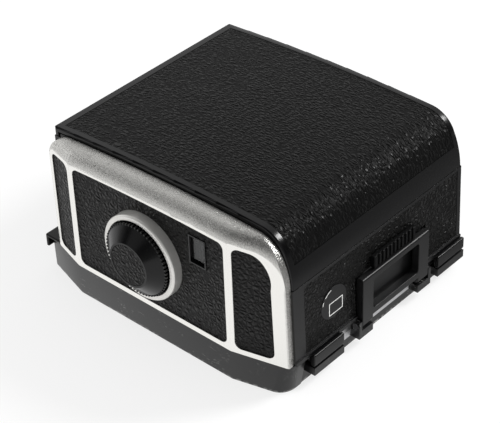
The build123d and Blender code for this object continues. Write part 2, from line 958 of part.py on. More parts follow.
# Counter window
with BuildPart() as counter_window_frame:
    with BuildSketch(across(casing_face_y)):
        with Locations((window_centre_x, window_centre_z)):
            Rectangle(2 * frame_outer_x, 2 * frame_outer_z)
            Rectangle(window_width, window_height, mode=Mode.SUBTRACT)
    extrude(amount=trim_thickness)
counter_window_frame.part.label = "counter_window_frame"
export_step(counter_window_frame.part, "parts/counter_window_frame.step")

with BuildPart() as counter_window_glass:
    with BuildSketch(across(casing_face_y + window_glass)):
        with Locations((window_centre_x, window_centre_z)):
            Rectangle(window_width, window_height)
    extrude(amount=window_glass)
counter_window_glass.part.label = "counter_window_glass"
export_step(counter_window_glass.part, "parts/counter_window_glass.step")

# Winding knob in its fixed ring
ring_front_y = bulge_y - knob_ring_height
ring_floor_y = casing_face_y - knob_ring_floor
knob_back_y = ring_floor_y - moving_gap
knob_rim_y = bulge_y - knob_rim_height
knob_front_y = bulge_y - knob_height
shaft_bore_radius = knob_shaft_radius + running_fit

with BuildPart() as knob_ring:
    rod(*knob_axis, knob_ring_radius, (ring_front_y, casing_face_y))
    fillet(knob_ring.faces().sort_by(Axis.Y)[0].edges(), knob_ring_edge)
    rod(
        *knob_axis,
        knob_ring_radius - knob_ring_wall,
        (ring_front_y - 1, ring_floor_y),
        mode=Mode.SUBTRACT,
    )
    rod(*knob_axis, knob_bearing_radius, (ring_floor_y, casing_inner_y))
    rod(*knob_axis, shaft_bore_radius, (ring_front_y, near_y), mode=Mode.SUBTRACT)
knob_ring.part.label = "knob_ring"
export_step(knob_ring.part, "parts/knob_ring.step")

with BuildPart() as winding_knob:
    rod(*knob_axis, knob_rim_radius, (knob_rim_y, knob_back_y))
    with BuildSketch(across(knob_rim_y)):
        with Locations(knob_axis):
            Circle(knob_rim_radius - knob_tooth_depth)
    with BuildSketch(across(knob_front_y)):
        with Locations(knob_axis):
            Circle(knob_face_radius)
    loft()
    with BuildSketch(across(knob_back_y)):
        with Locations(knob_axis):
            with PolarLocations(knob_rim_radius, knob_teeth):
                Rectangle(2 * knob_tooth_depth, math.pi * knob_rim_radius / knob_teeth)
    extrude(amount=knob_back_y - knob_rim_y, mode=Mode.SUBTRACT)
    rod(*knob_axis, knob_leather_radius, (knob_front_y, knob_front_y + leather_recess), mode=Mode.SUBTRACT)
    rod(*knob_axis, knob_shaft_radius, (knob_rim_y, knob_back_y), mode=Mode.SUBTRACT)
winding_knob.part.label = "winding_knob"
export_step(winding_knob.part, "parts/winding_knob.step")

with BuildPart() as knob_leather:
    rod(
        *knob_axis,
        knob_leather_radius - fold_gap,
        (knob_front_y + leather_recess - leather_thickness, knob_front_y + leather_recess),
    )
knob_leather.part.label = "knob_leather"
export_step(knob_leather.part, "parts/knob_leather.step")

with BuildPart() as knob_shaft:
    rod(*knob_axis, knob_shaft_radius, (knob_rim_y, -plate_in - moving_gap))
knob_shaft.part.label = "knob_shaft"
export_step(knob_shaft.part, "parts/knob_shaft.step")

# Gear train from the knob to the take-up spool
drive_facing = angle_between(knob_axis, take_up_axis)
knob_gear_solid = gear(
    drive_gear_y, drive_gear_thickness, knob_axis, drive_teeth, drive_module, drive_facing
)
half_drive_tooth = 180 / drive_teeth
take_up_gear_solid = gear(
    drive_gear_y,
    drive_gear_thickness,
    take_up_axis,
    drive_teeth,
    drive_module,
    drive_facing + 180 + half_drive_tooth,
)
gear_end_y = drive_gear_y + drive_gear_thickness

with BuildPart() as knob_gear:
    add(knob_gear_solid)
    rod(*knob_axis, knob_shaft_radius, (drive_gear_y, gear_end_y), mode=Mode.SUBTRACT)
knob_gear.part.label = "knob_gear"
export_step(knob_gear.part, "parts/knob_gear.step")

with BuildPart() as take_up_gear:
    add(take_up_gear_solid)
    rod(*take_up_axis, take_up_shaft_radius, (drive_gear_y, gear_end_y), mode=Mode.SUBTRACT)
take_up_gear.part.label = "take_up_gear"
export_step(take_up_gear.part, "parts/take_up_gear.step")

# Take-up shaft with its pinion and the key that turns the spool
spool_end = spool_length / 2
pinion_facing = angle_between(take_up_axis, idler_axis)
pinion_solid = gear(
    pinion_y, gear_thickness, take_up_axis, pinion_teeth, counter_module, pinion_facing
)
key_end_y = -spool_end + key_reach

with BuildPart() as take_up_shaft:
    add(pinion_solid)
    rod(*take_up_axis, take_up_shaft_radius, (pinion_y + gear_thickness, key_end_y))
    block(
        (take_up_x - key_half_length, take_up_x + key_half_length),
        (-spool_end, key_end_y),
        (spool_axis_height - key_width / 2, spool_axis_height + key_width / 2),
    )
take_up_shaft.part.label = "take_up_shaft"
export_step(take_up_shaft.part, "parts/take_up_shaft.step")

with BuildPart() as take_up_spool:
    rod(*take_up_axis, spool_core_radius, (-spool_end, spool_end))
    for flange in ((-spool_end, -spool_end + spool_flange_thickness),
                   (spool_end - spool_flange_thickness, spool_end)):
        rod(*take_up_axis, spool_flange_radius, flange)
    rod(
        *take_up_axis, spool_bore_radius, (-spool_end, -spool_end + spool_bore_depth), mode=Mode.SUBTRACT
    )
    rod(*take_up_axis, spool_bore_radius, (spool_end - spool_bore_depth, spool_end), mode=Mode.SUBTRACT)
    block(
        (take_up_x - key_half_length - moving_gap, take_up_x + key_half_length + moving_gap),
        (-spool_end, -spool_end + spool_bore_depth),
        (
            spool_axis_height - key_width / 2 - moving_gap,
            spool_axis_height + key_width / 2 + moving_gap,
        ),
        mode=Mode.SUBTRACT,
    )
    block(
        (take_up_x - paper_slot_width / 2, take_up_x + paper_slot_width / 2),
        (-paper_slot_length / 2, paper_slot_length / 2),
        (spool_axis_height - spool_core_radius, spool_axis_height + spool_core_radius),
        mode=Mode.SUBTRACT,
    )
take_up_spool.part.label = "take_up_spool"
export_step(take_up_spool.part, "parts/take_up_spool.step")

# Counter idler and counter dial
idler_small_y = dial_gear_y + moving_gap
idler_facing = angle_between(idler_axis, take_up_axis) + 180 / idler_teeth
idler_large_solid = gear(
    pinion_y, gear_thickness, idler_axis, idler_teeth, counter_module, idler_facing
)
idler_small_solid = gear(
    idler_small_y,
    gear_thickness - moving_gap,
    idler_axis,
    pinion_teeth,
    counter_module,
    angle_between(idler_axis, dial_axis),
)

with BuildPart() as counter_idler:
    add(idler_large_solid)
    add(idler_small_solid)
    rod(*idler_axis, pinion_radius - counter_module, (idler_small_y, pinion_y))
    rod(
        *idler_axis, stud_radius + running_fit, (idler_small_y, pinion_y + gear_thickness),
        mode=Mode.SUBTRACT,
    )
counter_idler.part.label = "counter_idler"
export_step(counter_idler.part, "parts/counter_idler.step")

dial_facing = angle_between(dial_axis, idler_axis) + 180 / dial_teeth
dial_gear_solid = gear(
    dial_gear_y, gear_thickness, dial_axis, dial_teeth, counter_module, dial_facing
)

with BuildPart() as counter_dial:
    rod(*dial_axis, dial_radius, (dial_y, dial_gear_y))
    add(dial_gear_solid)
    rod(
        *dial_axis, stud_radius + running_fit, (dial_y, dial_gear_y + gear_thickness),
        mode=Mode.SUBTRACT,
    )
counter_dial.part.label = "counter_dial"
export_step(counter_dial.part, "parts/counter_dial.step")

with BuildPart() as counter_studs:
    rod(*dial_axis, stud_radius, (casing_inner_y, dial_gear_y + gear_thickness))
    rod(*idler_axis, stud_radius, (casing_inner_y, pinion_y + gear_thickness))
counter_studs.part.label = "counter_studs"
export_step(counter_studs.part, "parts/counter_studs.step")

# Film carrier: gate plate, side plates, rods, rollers
strip_x = slide_width / 2 + moving_gap
gate_plate_y = plate_out + gate_plate_margin

with BuildPart() as gate_plate:
    block(
        (-gate_plate_length / 2, gate_plate_length / 2),
        (-gate_plate_y, gate_plate_y),
        (base_floor, gate_high),
    )
    block((-strip_x, strip_x), (slide_start_y - moving_gap, gate_plate_y), (base_floor, gate_low),
          mode=Mode.SUBTRACT)
    for side in (-1, 1):
        rail_y = side * (gate_width / 2 + film_rail_width)
        with Locations((0, rail_y, gate_high)):
            Box(
                pressure_plate_length,
                film_rail_width,
                rail_height,
                align=(Align.CENTER, Align.CENTER, Align.MIN),
            )
    block(
        (-gate_length / 2, gate_length / 2),
        (-gate_width / 2, gate_width / 2),
        (gate_low, film_height),
        mode=Mode.SUBTRACT,
    )
gate_plate.part.label = "gate_plate"
export_step(gate_plate.part, "parts/gate_plate.step")

roller_height = film_height + roller_radius
tie_rod_axes = ((0, tie_rod_height), (0, spool_axis_height - spool_flange_radius))
roller_axes = {
    "supply_roller": (-roller_offset, roller_height),
    "take_up_roller": (roller_offset, roller_height),
}


def side_plate(side, holes):
    """Carrier side plate with its row of (x, z, radius) holes."""
    y = sorted((side * plate_in, side * plate_out))
    with BuildPart() as plate:
        block((-side_plate_length / 2, side_plate_length / 2), y, (gate_high, side_plate_top))
        fillet(plate.edges().filter_by(Axis.Y).group_by(Axis.Z)[-1], spool_core_radius)
        for x, z, radius in holes:
            rod(x, z, radius, y, mode=Mode.SUBTRACT)
    return plate.part


shared_holes = [(x, z, tie_rod_radius) for x, z in tie_rod_axes]
shared_holes += [(x, z, roller_pin_radius + running_fit) for x, z in roller_axes.values()]
pivot_radius = spool_bore_radius - pivot_fit
near_holes = shared_holes + [
    (*knob_axis, shaft_bore_radius),
    (*take_up_axis, take_up_shaft_radius + running_fit),
    (*supply_axis, pivot_radius),
]
far_holes = shared_holes + [
    (*take_up_axis, pivot_radius + running_fit),
    (*supply_axis, pivot_radius + running_fit),
]

with BuildPart() as near_side_plate:
    add(side_plate(-1, near_holes))
near_side_plate.part.label = "near_side_plate"
export_step(near_side_plate.part, "parts/near_side_plate.step")

with BuildPart() as far_side_plate:
    add(side_plate(1, far_holes))
far_side_plate.part.label = "far_side_plate"
export_step(far_side_plate.part, "parts/far_side_plate.step")

with BuildPart() as tie_rods:
    for x, z in tie_rod_axes:
        rod(x, z, tie_rod_radius, (-plate_out, plate_out))
tie_rods.part.label = "tie_rods"
export_step(tie_rods.part, "parts/tie_rods.step")

for name, axis in roller_axes.items():
    with BuildPart() as roller:
        rod(*axis, roller_radius, (-plate_in + moving_gap, plate_in - moving_gap))
        rod(*axis, roller_pin_radius, (-plate_out, plate_out))
        fillet(roller.edges().filter_by(GeomType.CIRCLE).group_by(SortBy.RADIUS)[-1], roller_edge)
    roller.part.label = name
    export_step(roller.part, f"parts/{name}.step")

# Spool pivots: a fixed stub at the near end of the supply side, sprung pins at the far side
with BuildPart() as supply_stub:
    rod(*supply_axis, pivot_radius, (-plate_out, -spool_end + pivot_reach))
    rod(*supply_axis, pivot_head_radius, (-plate_out - pivot_head_thickness, -plate_out))
supply_stub.part.label = "supply_stub"
export_step(supply_stub.part, "parts/supply_stub.step")

for name, axis in (("supply_pivot", supply_axis), ("take_up_pivot", take_up_axis)):
    with BuildPart() as pivot:
        rod(*axis, pivot_radius, (spool_end - pivot_reach, plate_out + moving_gap))
        rod(
            *axis,
            pivot_head_radius,
            (plate_out + moving_gap, plate_out + moving_gap + pivot_head_thickness),
        )
    pivot.part.label = name
    export_step(pivot.part, f"parts/{name}.step")

# Pressure plate, its bridge and its leaf springs
pressure_low = film_height + fold_gap
pressure_high = pressure_low + pressure_plate_thickness

with BuildPart() as pressure_plate:
    block(
        (-pressure_plate_length / 2, pressure_plate_length / 2),
        (-pressure_plate_width / 2, pressure_plate_width / 2),
        (pressure_low, pressure_high),
    )
    fillet(pressure_plate.edges().filter_by(Axis.Z), spool_bore_radius)
pressure_plate.part.label = "pressure_plate"
export_step(pressure_plate.part, "parts/pressure_plate.step")

with BuildPart() as pressure_bridge:
    block(
        (-bridge_width / 2, bridge_width / 2),
        (-plate_in, plate_in),
        (bridge_height, bridge_height + bridge_thickness),
    )
pressure_bridge.part.label = "pressure_bridge"
export_step(pressure_bridge.part, "parts/pressure_bridge.step")

with BuildPart() as pressure_springs:
    for leaf_y in (-pressure_plate_width / 4, pressure_plate_width / 4):
        with BuildSketch(across(leaf_y + leaf_width / 2)):
            with BuildLine():
                Polyline(
                    (-leaf_reach, pressure_high),
                    (-bridge_width / 4, bridge_height - leaf_thickness),
                    (bridge_width / 4, bridge_height - leaf_thickness),
                    (leaf_reach, pressure_high),
                    (leaf_reach, pressure_high + leaf_thickness),
                    (bridge_width / 4, bridge_height),
                    (-bridge_width / 4, bridge_height),
                    (-leaf_reach, pressure_high + leaf_thickness),
                    close=True,
                )
            make_face()
        extrude(amount=leaf_width)
pressure_springs.part.label = "pressure_springs"
export_step(pressure_springs.part, "parts/pressure_springs.step")

# Dark slide with its handle, and the felt that seals its slot
handle_start_y = far_y + moving_gap
handle_end_y = handle_start_y + slide_handle_length
slide_mid = slide_low + slide_thickness / 2

with BuildPart() as dark_slide:
    block(
        (-slide_width / 2, slide_width / 2),
        (slide_start_y, handle_start_y),
        (slide_low, slide_low + slide_thickness),
    )
    block(
        (-slide_handle_width / 2 + slide_handle_thickness, slide_handle_width / 2 - slide_handle_thickness),
        (handle_start_y, handle_end_y - slide_handle_thickness),
        (slide_low, slide_low + slide_thickness),
    )
dark_slide.part.label = "dark_slide"
export_step(dark_slide.part, "parts/dark_slide.step")

with BuildPart() as slide_handle:
    block(
        (-slide_handle_width / 2, slide_handle_width / 2),
        (handle_start_y, handle_end_y),
        (slide_mid - slide_handle_thickness / 2, slide_mid + slide_handle_thickness / 2),
    )
    fillet(slide_handle.edges().filter_by(Axis.Z).group_by(Axis.Y)[-1], slide_handle_thickness)
    fillet(slide_handle.faces().sort_by(Axis.Y)[-1].edges().filter_by(Axis.X), slide_handle_thickness / 4)
    add(dark_slide.part, mode=Mode.SUBTRACT)
slide_handle.part.label = "slide_handle"
export_step(slide_handle.part, "parts/slide_handle.step")

with BuildPart() as slot_seal:
    block(
        (-slide_width / 2 + fold_gap, slide_width / 2 - fold_gap),
        (seal_y + fold_gap, seal_y + seal_width - fold_gap),
        (slide_low + slide_thickness + slide_slot_gap, base_floor + gate_plate_gap + seal_height),
    )
slot_seal.part.label = "slot_seal"
export_step(slot_seal.part, "parts/slot_seal.step")

# Release lever with its two pins
leg_end = pin_height - lever_thickness / 2

with BuildPart() as release_lever:
    with BuildSketch(Plane.YZ.offset(lever_back_x)):
        with Locations((lever_centre_y, leg_end)):
            Rectangle(lever_width, lever_top - leg_end, align=(Align.CENTER, Align.MIN))
            Rectangle(
                lever_width - 2 * lever_leg,
                lever_bar_low - leg_end,
                align=(Align.CENTER, Align.MIN),
                mode=Mode.SUBTRACT,
            )
        with Locations((lever_centre_y, (lever_window_low + lever_window_high) / 2)):
            RectangleRounded(
                lever_width - 2 * lever_leg,
                lever_window_high - lever_window_low,
                lever_window_radius,
                mode=Mode.SUBTRACT,
            )
    extrude(amount=lever_thickness)
    fillet(release_lever.edges().filter_by(Axis.Y).group_by(Axis.Z)[0], lever_thickness / 2 - fold_gap)
    fillet(release_lever.edges().filter_by(Axis.Y).group_by(Axis.Z)[-1], lever_top_edge)
    rod(pin_x, pin_height, pin_radius, (lever_low_y, lever_low_y + pin_depth), mode=Mode.SUBTRACT)
    rod(pin_x, pin_height, pin_radius, (lever_high_y - pin_depth, lever_high_y), mode=Mode.SUBTRACT)
release_lever.part.label = "release_lever"
export_step(release_lever.part, "parts/release_lever.step")

with BuildPart() as lever_pins:
    rod(pin_x, pin_height, pin_radius, (ear_ranges[0][0] - pin_head, lever_low_y + pin_depth))
    rod(pin_x, pin_height, pin_radius, (lever_high_y - pin_depth, ear_ranges[1][1] + pin_head))
    rod(pin_x, pin_height, pin_head_radius, (ear_ranges[0][0] - pin_head, ear_ranges[0][0] - fold_gap))
    rod(pin_x, pin_height, pin_head_radius, (ear_ranges[1][1] + fold_gap, ear_ranges[1][1] + pin_head))
lever_pins.part.label = "lever_pins"
export_step(lever_pins.part, "parts/lever_pins.step")

# Latch bar, keeper strip and claws along the foot of the label wall
bar_x = notch_x + moving_gap / 2
bar_start_y = near_claw_y - claw_width / 2 + bar_end_gap
bar_end_y = far_claw_y + claw_width / 2 - bar_travel - bar_end_gap

with BuildPart() as latch_bar:
    block((bar_x, bar_x + bar_thickness), (bar_start_y, bar_end_y), (bar_low, bar_high))
    fillet(latch_bar.edges().filter_by(Axis.X), bar_thickness / 2)
latch_bar.part.label = "latch_bar"
export_step(latch_bar.part, "parts/latch_bar.step")

with BuildPart() as keeper_strip:
    for lower, upper in zip(tab_ranges[:-1], tab_ranges[1:]):
        block(
            (notch_x, notch_x + keeper_thickness),
            (lower[1] + fold_gap, upper[0] - fold_gap),
            (tab_low, tab_high),
        )
keeper_strip.part.label = "keeper_strip"
export_step(keeper_strip.part, "parts/keeper_strip.step")

claw_x = right_x + lever_front_out
ledge_x = label_face_x + ledge_out + moving_gap

for name, centre in (("near_claw", near_claw_y), ("far_claw", far_claw_y)):
    with BuildPart() as claw:
        with BuildSketch(across(centre + claw_width / 2)):
            with BuildLine():
                Polyline(
                    (notch_x, claw_plate_low),
                    (notch_x, base_height),
                    (ledge_x, base_height),
                    (ledge_x, claw_high),
                    (claw_x, claw_high),
                    (claw_x, claw_low),
                    (claw_x - claw_lip, claw_low),
                    (claw_x - claw_lip, claw_plate_low),
                    close=True,
                )
            make_face()
            fillet(vertices().group_by(Axis.Y)[0], claw_lip / 2 - fold_gap)
            fillet(vertices().group_by(Axis.Y)[-1], claw_top_edge)
        extrude(amount=claw_width)
    claw.part.label = name
    export_step(claw.part, f"parts/{name}.step")

# Lugs over the left end of the base frame
for name, lug_range in (("near_lug", lug_ranges[0]), ("far_lug", lug_ranges[1])):
    with BuildPart() as lug:
        with BuildSketch(across(lug_range[1])):
            with BuildLine():
                Polyline(
                    (left_x, base_height),
                    (left_x, lug_high),
                    (left_x - lug_out, lug_high),
                    (left_x - lug_out, lug_low),
                    (left_x - base_left_out, lug_low),
                    (left_x - base_left_out, base_height),
                    close=True,
                )
            make_face()
            fillet(vertices().group_by(Axis.X)[0], claw_top_edge)
        extrude(amount=lug_width)
    lug.part.label = name
    export_step(lug.part, f"parts/{name}.step")

# Cover catch, a ribbed slide with a latch plate inside the wall
catch_wall_x = label_face_x + (right_x - label_face_x) * (catch_low - base_height) / lean_height
catch_back_x = catch_wall_x + moving_gap / 2
catch_front_x = catch_back_x + catch_out
catch_plate_x = right_x - inner_in - moving_gap
rib_pitch = catch_width / catch_ribs
nose_x = hinge_x + math.sqrt((hook_reach + moving_gap) ** 2 - (hinge_z - cover_joint_height) ** 2)

with BuildPart() as cover_catch:
    block((catch_back_x, catch_front_x), (catch_low_y, catch_low_y + catch_width), (catch_low, catch_high))
    chamfer(cover_catch.edges().group_by(Axis.X)[-1], catch_rib_depth / 2)
    for rib in range(1, catch_ribs):
        rib_y = catch_low_y + rib * rib_pitch
        block(
            (catch_front_x - catch_rib_depth, catch_front_x),
            (rib_y - rib_pitch / 4, rib_y + rib_pitch / 4),
            (catch_low, catch_high),
            mode=Mode.SUBTRACT,
        )
    block(
        (catch_plate_x, catch_back_x),
        (stem_low_y, stem_low_y + catch_stem_length),
        (
            catch_mid_z - catch_slot_height / 2 + moving_gap,
            catch_mid_z + catch_slot_height / 2 - moving_gap,
        ),
    )
cover_catch.part.label = "cover_catch"
export_step(cover_catch.part, "parts/cover_catch.step")

nose_top = cover_joint_height - moving_gap
with BuildPart() as catch_plate:
    block(
        (catch_plate_x - catch_plate_thickness, catch_plate_x),
        (hook_centres[0] - hook_width / 2, hook_centres[1] + hook_width / 2),
        (catch_low, nose_top),
    )
    for centre in hook_centres:
        block(
            (nose_x, catch_plate_x - catch_plate_thickness),
            (centre - hook_width / 4, centre + hook_width / 4),
            (nose_top - catch_slot_height, nose_top),
        )
catch_plate.part.label = "catch_plate"
export_step(catch_plate.part, "parts/catch_plate.step")

# Screws from the mating face into the casing
with BuildPart() as casing_screws:
    with BuildSketch():
        with Locations(*screw_places):
            Circle(screw_radius)
    extrude(amount=screw_length)
    with BuildSketch():
        with Locations(*screw_places):
            Circle(screw_head_radius)
    extrude(amount=screw_head_height, taper=screw_taper)
casing_screws.part.label = "casing_screws"
export_step(casing_screws.part, "parts/casing_screws.step")
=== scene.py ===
"""Roll-film magazine of a medium format camera: finishes, fine forms and studio stage."""
import json
import math

import bmesh
import bpy
from mathutils import Matrix, Vector


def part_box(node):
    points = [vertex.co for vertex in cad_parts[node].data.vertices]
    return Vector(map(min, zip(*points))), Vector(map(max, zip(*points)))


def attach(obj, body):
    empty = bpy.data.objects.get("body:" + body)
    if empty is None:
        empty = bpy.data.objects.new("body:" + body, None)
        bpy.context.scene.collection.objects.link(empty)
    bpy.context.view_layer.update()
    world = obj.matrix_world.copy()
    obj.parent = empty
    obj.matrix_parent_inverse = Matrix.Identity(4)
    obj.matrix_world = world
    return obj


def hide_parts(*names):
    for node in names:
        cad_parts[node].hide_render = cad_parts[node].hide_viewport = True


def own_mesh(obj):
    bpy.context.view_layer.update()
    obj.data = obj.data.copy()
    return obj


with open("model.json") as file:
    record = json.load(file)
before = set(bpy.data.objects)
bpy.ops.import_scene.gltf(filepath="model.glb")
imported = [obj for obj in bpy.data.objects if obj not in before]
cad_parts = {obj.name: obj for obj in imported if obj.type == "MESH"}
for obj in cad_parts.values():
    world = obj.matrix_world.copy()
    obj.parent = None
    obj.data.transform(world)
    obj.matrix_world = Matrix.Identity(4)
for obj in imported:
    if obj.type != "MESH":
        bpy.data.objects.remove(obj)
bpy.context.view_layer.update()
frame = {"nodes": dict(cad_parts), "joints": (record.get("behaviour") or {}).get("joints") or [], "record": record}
body_of = {
    node: body for body, nodes in frame["record"]["behaviour"]["bodies"].items() for node in nodes
}

bl_info = {
    "name": "Roll-film magazine",
    "version": (1, 0, 0),
    "blender": (4, 5, 0),
    "location": "View3D > Sidebar > Magazine",
    "description": "Dresses the film magazine's solids and sets up its studio stage",
    "category": "Object",
}

MM = 0.001

# Faces that meet at more than SHARP_ANGLE keep their edge, and below FLAT_ANGLE they are one face
SHARP_ANGLE = math.radians(32)
FLAT_ANGLE = math.radians(0.4)
MERGE_GAP = 0.001 * MM

# Outward directions of the trim's three flats: the left one and the right one slope back
LEFT_SLOPE = 0.29
RIGHT_SLOPE = 0.257
FLAT_NORMALS = (
    Vector((-LEFT_SLOPE, -1.0, 0)).normalized()[:],
    (0.0, -1.0, 0.0),
    Vector((RIGHT_SLOPE, -1.0, 0)).normalized()[:],
)

# Sockets of the colour Mix node, by number
MIX_SHARE, MIX_FIRST, MIX_SECOND, MIX_RESULT = 0, 6, 7, 2


# Shader maths
class Signal:
    """A shader socket whose arithmetic adds Math nodes."""

    def __init__(self, finish, socket):
        self.finish = finish
        self.socket = socket

    def maths(self, operation, *others):
        return self.finish.node("ShaderNodeMath", {"operation": operation}, [self, *others])

    def __add__(self, other):
        return self.maths("ADD", other)

    __radd__ = __add__

    def __mul__(self, other):
        return self.maths("MULTIPLY", other)

    __rmul__ = __mul__

    def __sub__(self, other):
        return self.maths("SUBTRACT", other)

    def __rsub__(self, other):
        return self.finish.node("ShaderNodeMath", {"operation": "SUBTRACT"}, [other, self])

    def between(self, low, high):
        """0 below low, 1 above high, and smooth in between."""
        return self.finish.node(
            "ShaderNodeMapRange",
            {"interpolation_type": "SMOOTHSTEP"},
            {"Value": self, "From Min": low, "From Max": high},
        )

    def at_most(self, other):
        return self.maths("MINIMUM", other)

    def at_least(self, other):
        return self.maths("MAXIMUM", other)


class Finish:
    """A material, or the world, built from nodes."""

    def __init__(self, name, block=None):
        self.block = block or bpy.data.materials.new(name)
        self.block.use_nodes = True
        self.tree = self.block.node_tree
        self.tree.nodes.clear()

    def node(self, kind, options=None, inputs=None, output=0):
        """Adds a node with its options and inputs, and gives one of its outputs."""
        node = self.tree.nodes.new(kind)
        for key, value in (options or {}).items():
            setattr(node, key, value)
        pairs = inputs.items() if isinstance(inputs, dict) else enumerate(inputs or [])
        for key, value in pairs:
            if isinstance(value, Signal):
                self.tree.links.new(value.socket, node.inputs[key])
            else:
                node.inputs[key].default_value = value
        return Signal(self, node.outputs[output]) if len(node.outputs) else None

    def place(self):
        """Object coordinates, in metres."""
        return self.node("ShaderNodeTexCoord", output="Object")

    def stretched(self, vector, scale, turn=(0, 0, 0)):
        """The coordinates turned and scaled, so that a pattern runs along one direction."""
        inputs = {"Vector": vector, "Rotation": turn, "Scale": scale}
        return self.node("ShaderNodeMapping", {"vector_type": "POINT"}, inputs)

    def noise(self, vector, size, detail=3.0, roughness=0.55):
        """Noise from 0 to 1 with features of about that size in metres."""
        inputs = {"Vector": vector, "Scale": 1 / size, "Detail": detail, "Roughness": roughness}
        return self.node("ShaderNodeTexNoise", {"noise_dimensions": "3D"}, inputs)

    def cells(self, vector, size, feature, output):
        """Slightly uneven cells of about that size in metres."""
        options = {"voronoi_dimensions": "3D", "feature": feature}
        inputs = {"Vector": vector, "Scale": 1 / size, "Randomness": 0.9}
        return self.node("ShaderNodeTexVoronoi", options, inputs, output)

    def moved(self, vector, size, amount):
        """The coordinates pushed about by noise, so that no pattern stays regular."""
        waves = {"Vector": vector, "Scale": 1 / size, "Detail": 2.0}
        push = self.node("ShaderNodeTexNoise", inputs=waves, output="Color")
        centred = self.node("ShaderNodeVectorMath", {"operation": "SUBTRACT"}, [push, (0.5, 0.5, 0.5)])
        reach = {"Vector": centred, "Scale": amount}
        scaled = self.node("ShaderNodeVectorMath", {"operation": "SCALE"}, reach)
        return self.node("ShaderNodeVectorMath", {"operation": "ADD"}, [vector, scaled])

    def along(self, vector, direction):
        """How far a vector goes along a direction."""
        return self.node("ShaderNodeVectorMath", {"operation": "DOT_PRODUCT"}, [vector, direction], "Value")

    def ray(self, kind):
        """1 for rays of one kind and 0 for the others."""
        return self.node("ShaderNodeLightPath", output=f"Is {kind} Ray")

    def blend(self, share, first, second):
        """Colour between two colours."""
        inputs = {MIX_SHARE: share, MIX_FIRST: first, MIX_SECOND: second}
        return self.node("ShaderNodeMix", {"data_type": "RGBA"}, inputs, MIX_RESULT)

    def bump(self, height, distance):
        return self.node("ShaderNodeBump", inputs={"Height": height, "Distance": distance})

    def surface(self, **inputs):
        """Closes the material with one Principled BSDF."""
        named = {key.replace("_", " "): value for key, value in inputs.items()}
        shader = self.node("ShaderNodeBsdfPrincipled", inputs=named)
        self.node("ShaderNodeOutputMaterial", inputs={"Surface": shader})
        return self.block


def colour(values):
    """Opaque colour for a socket."""
    return (*values, 1.0)


def toned(tint, share, lift=0.0):
    """A lighter or darker tone of a colour."""
    return [share * value + lift for value in tint]


# Finishes
def leatherette(name, dark, light, pebble, depth, gloss, level=0.5, stretch=(1, 1, 1)):
    """Pebbled leather cloth: rounded grains with creases between them, with a painted highlight on the grain tops
    and painted shade in the creases.
    """
    finish = Finish(name)
    place = finish.place()
    slow_bend = finish.moved(place, 5 * pebble, 1.1 * pebble)
    bent = finish.moved(slow_bend, 1.1 * pebble, 0.55 * pebble)
    grain_place = finish.stretched(bent, stretch)
    edge = finish.cells(grain_place, pebble, "DISTANCE_TO_EDGE", "Distance")
    dome = edge.between(0.0, 0.42)
    crease = 1.0 - edge.between(0.02, 0.16)
    wrinkle = finish.noise(grain_place, 0.5 * pebble)
    swell = finish.noise(place, 4.5 * pebble, detail=2.0, roughness=0.5)
    uneven = finish.cells(grain_place, pebble, "F1", "Color")
    height = 0.6 * dome + 0.26 * wrinkle + 0.4 * uneven * dome + 0.5 * swell
    broad = finish.noise(place, 11 * MM, detail=2.0)
    # Share of the light colour: random tone from broad and uneven, plus a painted highlight on the grain tops
    # (dome) and painted shade in the creases
    raised = 0.35 + 0.5 * dome * wrinkle + 0.35 * (broad - 0.5) + 0.2 * uneven - 0.35 * crease
    return finish.surface(
        Base_Color=finish.blend(raised.between(0.0, 1.0), colour(dark), colour(light)),
        Roughness=gloss + 0.18 * (wrinkle - 0.5) + 0.22 * crease + 0.10 * (broad - 0.5),
        Specular_IOR_Level=level,
        Normal=finish.bump(height, depth),
    )


def enamel(name, tint, roughness, wear=0.0, orange_peel=0.01 * MM, level=0.5, worn_foot=0.0):
    """Sprayed enamel with a faint skin, wiped scratches, and paint rubbed off near the foot."""
    finish = Finish(name)
    place = finish.place()
    skin = finish.noise(place, 0.5 * MM, detail=2.0, roughness=0.4)
    broad = finish.noise(place, 14 * MM)
    wiped_place = finish.stretched(place, (0.12, 1.0, 1.3), (0.2, 0.3, 0.5))
    wiped = finish.noise(wiped_place, 0.35 * MM, roughness=0.7)
    scratch = wiped.between(0.66, 0.74) * broad.between(0.45, 0.7)
    tone = finish.blend(
        (0.5 * broad + scratch * wear).at_most(1.0), colour(tint), colour(toned(tint, 1.6, 0.002))
    )
    if worn_foot:
        bare_metal = (0.3, 0.3, 0.29)
        up = finish.node("ShaderNodeSeparateXYZ", inputs=[place], output="Z")
        patches = finish.noise(place, 2.2 * MM, detail=4.0, roughness=0.7).between(0.5, 0.56)
        rubbed = (1.0 - up.between(0.3 * worn_foot, worn_foot)) * patches
        nick_place = finish.stretched(place, (0.25, 1.0, 1.6), (0.1, 0.6, 0.3))
        fine = finish.noise(nick_place, 0.5 * MM, detail=2.0, roughness=0.8)
        nick = fine.between(0.62, 0.67) * finish.noise(place, 8 * MM, detail=2.0).between(0.54, 0.62)
        tone = finish.blend(rubbed.at_least(nick), tone, colour(bare_metal))
    return finish.surface(
        Base_Color=tone,
        Roughness=roughness + 0.10 * (broad - 0.5) + 0.18 * scratch,
        Specular_IOR_Level=level,
        Normal=finish.bump(skin, orange_peel),
    )


